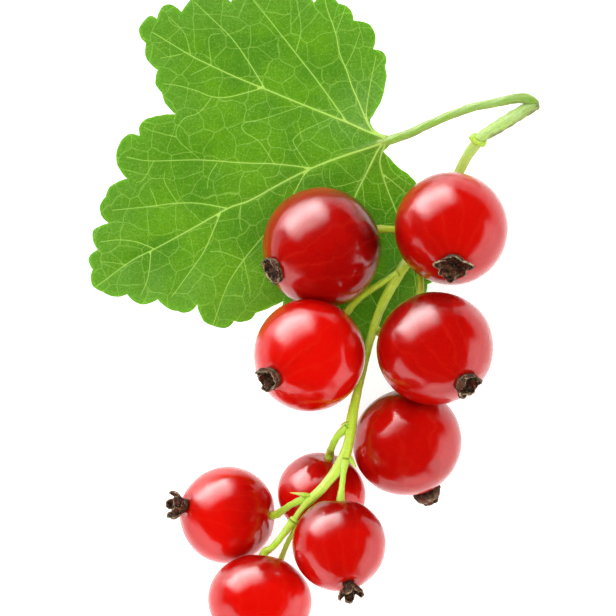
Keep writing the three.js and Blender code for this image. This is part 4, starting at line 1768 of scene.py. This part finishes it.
@dataclass(frozen=True)
class Bract:
    """A small pointed scale on the main stem.

    Attributes:
        node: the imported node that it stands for.
        foot: its foot, in millimetres.
        tip: its tip, in millimetres.
        half_width: half of its width, in millimetres.
    """

    node: str
    foot: Point
    tip: Point
    half_width: float

    def build(self, layout: Layout) -> bpy.types.Object:
        """Makes the scale from a disc drawn out to a bent point.

        Args:
            layout: where the sprig lies in the frame.

        Returns:
            The finished piece.
        """
        foot, tip = Vector(self.foot), Vector(self.tip)
        length = (tip - foot).length
        Bench.clear()
        bpy.ops.mesh.primitive_circle_add(vertices=16, radius=self.half_width * MM, fill_type="NGON")
        bench = Bench(f"green_{self.node}")
        bench.open()
        bpy.ops.transform.resize(value=(1.0, 0.6, 1.0), center_override=(0, 0, 0))
        before = 1.0
        for wide in (1.25, 1.15, 0.9, 0.6, 0.35, 0.12):
            lift = length / 6 * MM
            bpy.ops.mesh.extrude_region_move(TRANSFORM_OT_translate={"value": (0, 0.035 * MM, lift)})
            grow = wide / before
            bpy.ops.transform.resize(value=(grow, grow, 1.0))
            before = wide
        bpy.ops.mesh.select_all(action="SELECT")
        bpy.ops.mesh.normals_make_consistent(inside=False)
        bench.close()
        bench.modify("SUBSURF", levels=1, render_levels=1)
        co = places(bench.obj.data)
        flow = np.column_stack((co[:, 0], co[:, 1], co[:, 2] / length)) / MM
        store(bench.obj.data, "flow", flow)
        bench.settle(turn_to(tip - foot), layout.place(self.foot))
        bench.smooth()
        bench.obj.data.materials.append(dressing(BRACT_GREEN))
        return bench.obj


BRACTS = (
    Bract("bract_upper", (4.0, -11.4, 9.2), (3.2, -11.9, 9.95), 0.22),
    Bract("bract_middle", (4.0, -14.8, 9.2), (4.8, -16.1, 9.15), 0.3),
    Bract("bract_lower", (0.2, -18.7, 9.6), (-1.85, -18.6, 10.1), 0.34),
)


# ---- studio ------------------------------------------------------------------------------


@dataclass(frozen=True)
class Panel:
    """A soft light panel that faces the sprig, fading towards its edges.

    Attributes:
        name: its name.
        bearing: the direction that it stands in, in degrees from +X towards +Y.
        height: the height of its middle over the sprig, as an angle in degrees.
        width: the angle from side to side, in degrees.
        tall: the angle from its lower to its upper edge, in degrees.
        bright: how bright it is at its lower edge, over a white floor in full light.
        top: how bright it is at its upper edge, over its lower edge.
        soft: how much of its width fades at each side.
        in_gloss: whether glossy surfaces mirror it.
        in_diffuse: whether it lights matt surfaces.
        distance: its distance, in metres.
    """

    name: str
    bearing: float
    height: float
    width: float
    tall: float
    bright: float
    top: float = 1.0
    soft: float = 0.12
    in_gloss: bool = True
    in_diffuse: bool = True
    distance: float = 0.5

    def light(self, aim: Vector) -> None:
        """Puts the panel up, facing a point."""
        lamp = bpy.data.lights.new(self.name, "AREA")
        lamp.shape = "RECTANGLE"
        lamp.size = 2 * self.distance * math.tan(math.radians(self.width / 2))
        lamp.size_y = 2 * self.distance * math.tan(math.radians(self.tall / 2))
        lamp.energy = self.bright * math.pi * lamp.size * lamp.size_y
        self.fade(lamp)
        obj = bpy.data.objects.new(self.name, lamp)
        bpy.context.scene.collection.objects.link(obj)
        up, bearing = math.radians(self.height), math.radians(self.bearing)
        way = Vector((math.cos(up) * math.cos(bearing), math.cos(up) * math.sin(bearing), math.sin(up)))
        obj.visible_glossy = self.in_gloss
        obj.visible_diffuse = self.in_diffuse
        obj.location = aim + way * self.distance
        obj.rotation_euler = way.to_track_quat("Z", "Y").to_euler()

    def fade(self, lamp: bpy.types.AreaLight) -> None:
        """Makes the panel's light fall off from its lower to its upper edge and at its sides."""
        lamp.use_nodes = True
        tree = lamp.node_tree
        emission = tree.nodes["Emission"]
        place = tree.nodes.new("ShaderNodeNewGeometry").outputs["Parametric"]
        split = tree.nodes.new("ShaderNodeSeparateXYZ")
        tree.links.new(place, split.inputs[0])
        product = None
        ranges = (
            (split.outputs["Y"], 0.0, 1.0, 1.0, self.top),
            (split.outputs["Y"], 1.0, 1.0 - self.soft, 0.0, 1.0),
            (split.outputs["X"], 0.0, self.soft, 0.0, 1.0),
            (split.outputs["X"], 1.0, 1.0 - self.soft, 0.0, 1.0),
        )
        for source, low, high, start, end in ranges:
            step = tree.nodes.new("ShaderNodeMapRange")
            step.interpolation_type = "SMOOTHSTEP"
            tree.links.new(source, step.inputs["Value"])
            for key, value in (("From Min", low), ("From Max", high), ("To Min", start), ("To Max", end)):
                step.inputs[key].default_value = value
            if product is None:
                product = step.outputs[0]
                continue
            times = tree.nodes.new("ShaderNodeMath")
            times.operation = "MULTIPLY"
            tree.links.new(product, times.inputs[0])
            tree.links.new(step.outputs[0], times.inputs[1])
            product = times.outputs[0]
        tree.links.new(product, emission.inputs["Strength"])


@dataclass(frozen=True)
class Studio:
    """A plain pale lit floor, soft panels and the camera that looks down on the sprig.

    Attributes:
        camera_height: the camera's height over the floor, in metres.
        view_width: the width of what the camera sees at view_level, in metres.
        view_level: the height over the floor that the view is set for, in metres.
        floor_size: the floor's width, in metres.
        floor_glow: how bright the floor shines by itself.
        panels: the light panels.
        floor_colour: the floor's colour.
        sky_strength: how bright the room is.
    """

    camera_height: float = 0.608
    view_width: float = 0.0616
    view_level: float = 0.008
    floor_size: float = 3.0
    floor_glow: float = 0.75
    panels: tuple[Panel, ...] = (
        Panel("key_panel", 121, 28, 84, 57, 19.0, top=0.09, soft=0.27, in_diffuse=False),
        Panel("left_panel", 228, 7, 70, 27, 2.7, soft=0.2),
        Panel("front_panel", 283, 4, 50, 18, 2.2, soft=0.2),
        Panel("side_panel", 340, 9, 74, 33, 2.7, soft=0.25),
        Panel("slope_panel", 118, 40, 44, 44, 2.4, in_gloss=False),
        Panel("top_panel", 90, 90, 66, 66, 2.9, soft=0.2, in_gloss=False),
    )
    floor_colour: Colour = (0.8, 0.8, 0.8, 1)
    sky_strength: float = 0.02

    def set_camera(self, layout: Layout) -> None:
        """Sets the camera straight above the middle of the view."""
        sensor = 36.0
        data = bpy.data.cameras.new("overhead_camera")
        data.sensor_width = sensor
        data.lens = sensor * (self.camera_height - self.view_level) / self.view_width
        data.clip_start = 0.01
        camera = bpy.data.objects.new("overhead_camera", data)
        bpy.context.scene.collection.objects.link(camera)
        camera.location = layout.shift + Vector((0, 0, self.camera_height))
        bpy.context.scene.camera = camera

    def light(self) -> None:
        """Lights the sprig."""
        aim = Vector((0, 0, 0.006))
        for panel in self.panels:
            panel.light(aim)
        world = bpy.data.worlds.new("dim_room")
        world.use_nodes = True
        background = world.node_tree.nodes["Background"]
        background.inputs["Color"].default_value = (1, 1, 1, 1)
        background.inputs["Strength"].default_value = self.sky_strength
        bpy.context.scene.world = world
        bpy.context.scene.view_settings.view_transform = "Standard"

    def lay_floor(self) -> None:
        """Lays the smooth white floor, lit softly from below."""
        Bench.clear()
        bpy.ops.mesh.primitive_plane_add(size=self.floor_size)
        floor = bpy.context.object
        floor.name = "pale_floor"
        shader = Shader("pale_floor")
        shader.set(
            Base_Color=self.floor_colour,
            Roughness=0.1,
            IOR=1.5,
            Emission_Color=(1, 1, 1, 1),
            Emission_Strength=self.floor_glow,
        )
        floor.data.materials.append(shader.material)


def main() -> None:
    """Builds the studio and every piece of the sprig, in order."""
    logging.basicConfig(level=logging.INFO, format="%(message)s")
    layout = Layout.from_frame(BERRIES)
    log.info("layout shift %s", tuple(layout.shift))
    studio = Studio()
    studio.set_camera(layout)
    studio.light()
    studio.lay_floor()
    for berry, route in zip(BERRIES, PEDICEL_ROUTES):
        hand_over(berry.build(layout), berry.node)
        calyx = berry.calyx.build(berry.calyx_seat(layout), Vector(berry.calyx_way))
        hand_over(calyx, berry.calyx.node)
        stalk = pedicel(berry, route)
        hand_over(stalk.build(layout), stalk.node)
    stalks = (
        Stalk("pedicel_bare", BARE_PEDICEL, PEDICEL_LIME, Slot.STEM_GREEN, sides=18, step=0.25),
        Stalk("main_stem", MAIN_STEM, STRIG_GREEN, Slot.STEM_GREEN),
        Stalk("spur_shoot", SPUR_SHOOT, SPUR_BARK, Slot.BARK_GREEN),
        Stalk("leaf_petiole", PETIOLE, PETIOLE_GREEN, Slot.BARK_GREEN),
    )
    for stalk in stalks:
        hand_over(stalk.build(layout), stalk.node)
    leaf = Leaf(LEAF_MARGIN, MAIN_VEINS, SMALL_VEINS)
    hand_over(leaf.build(layout), leaf.node)
    collar = BudCollar()
    hand_over(collar.build(layout), collar.node)
    for bract in BRACTS:
        hand_over(bract.build(layout), bract.node)


if __name__ == "__main__":
    main()
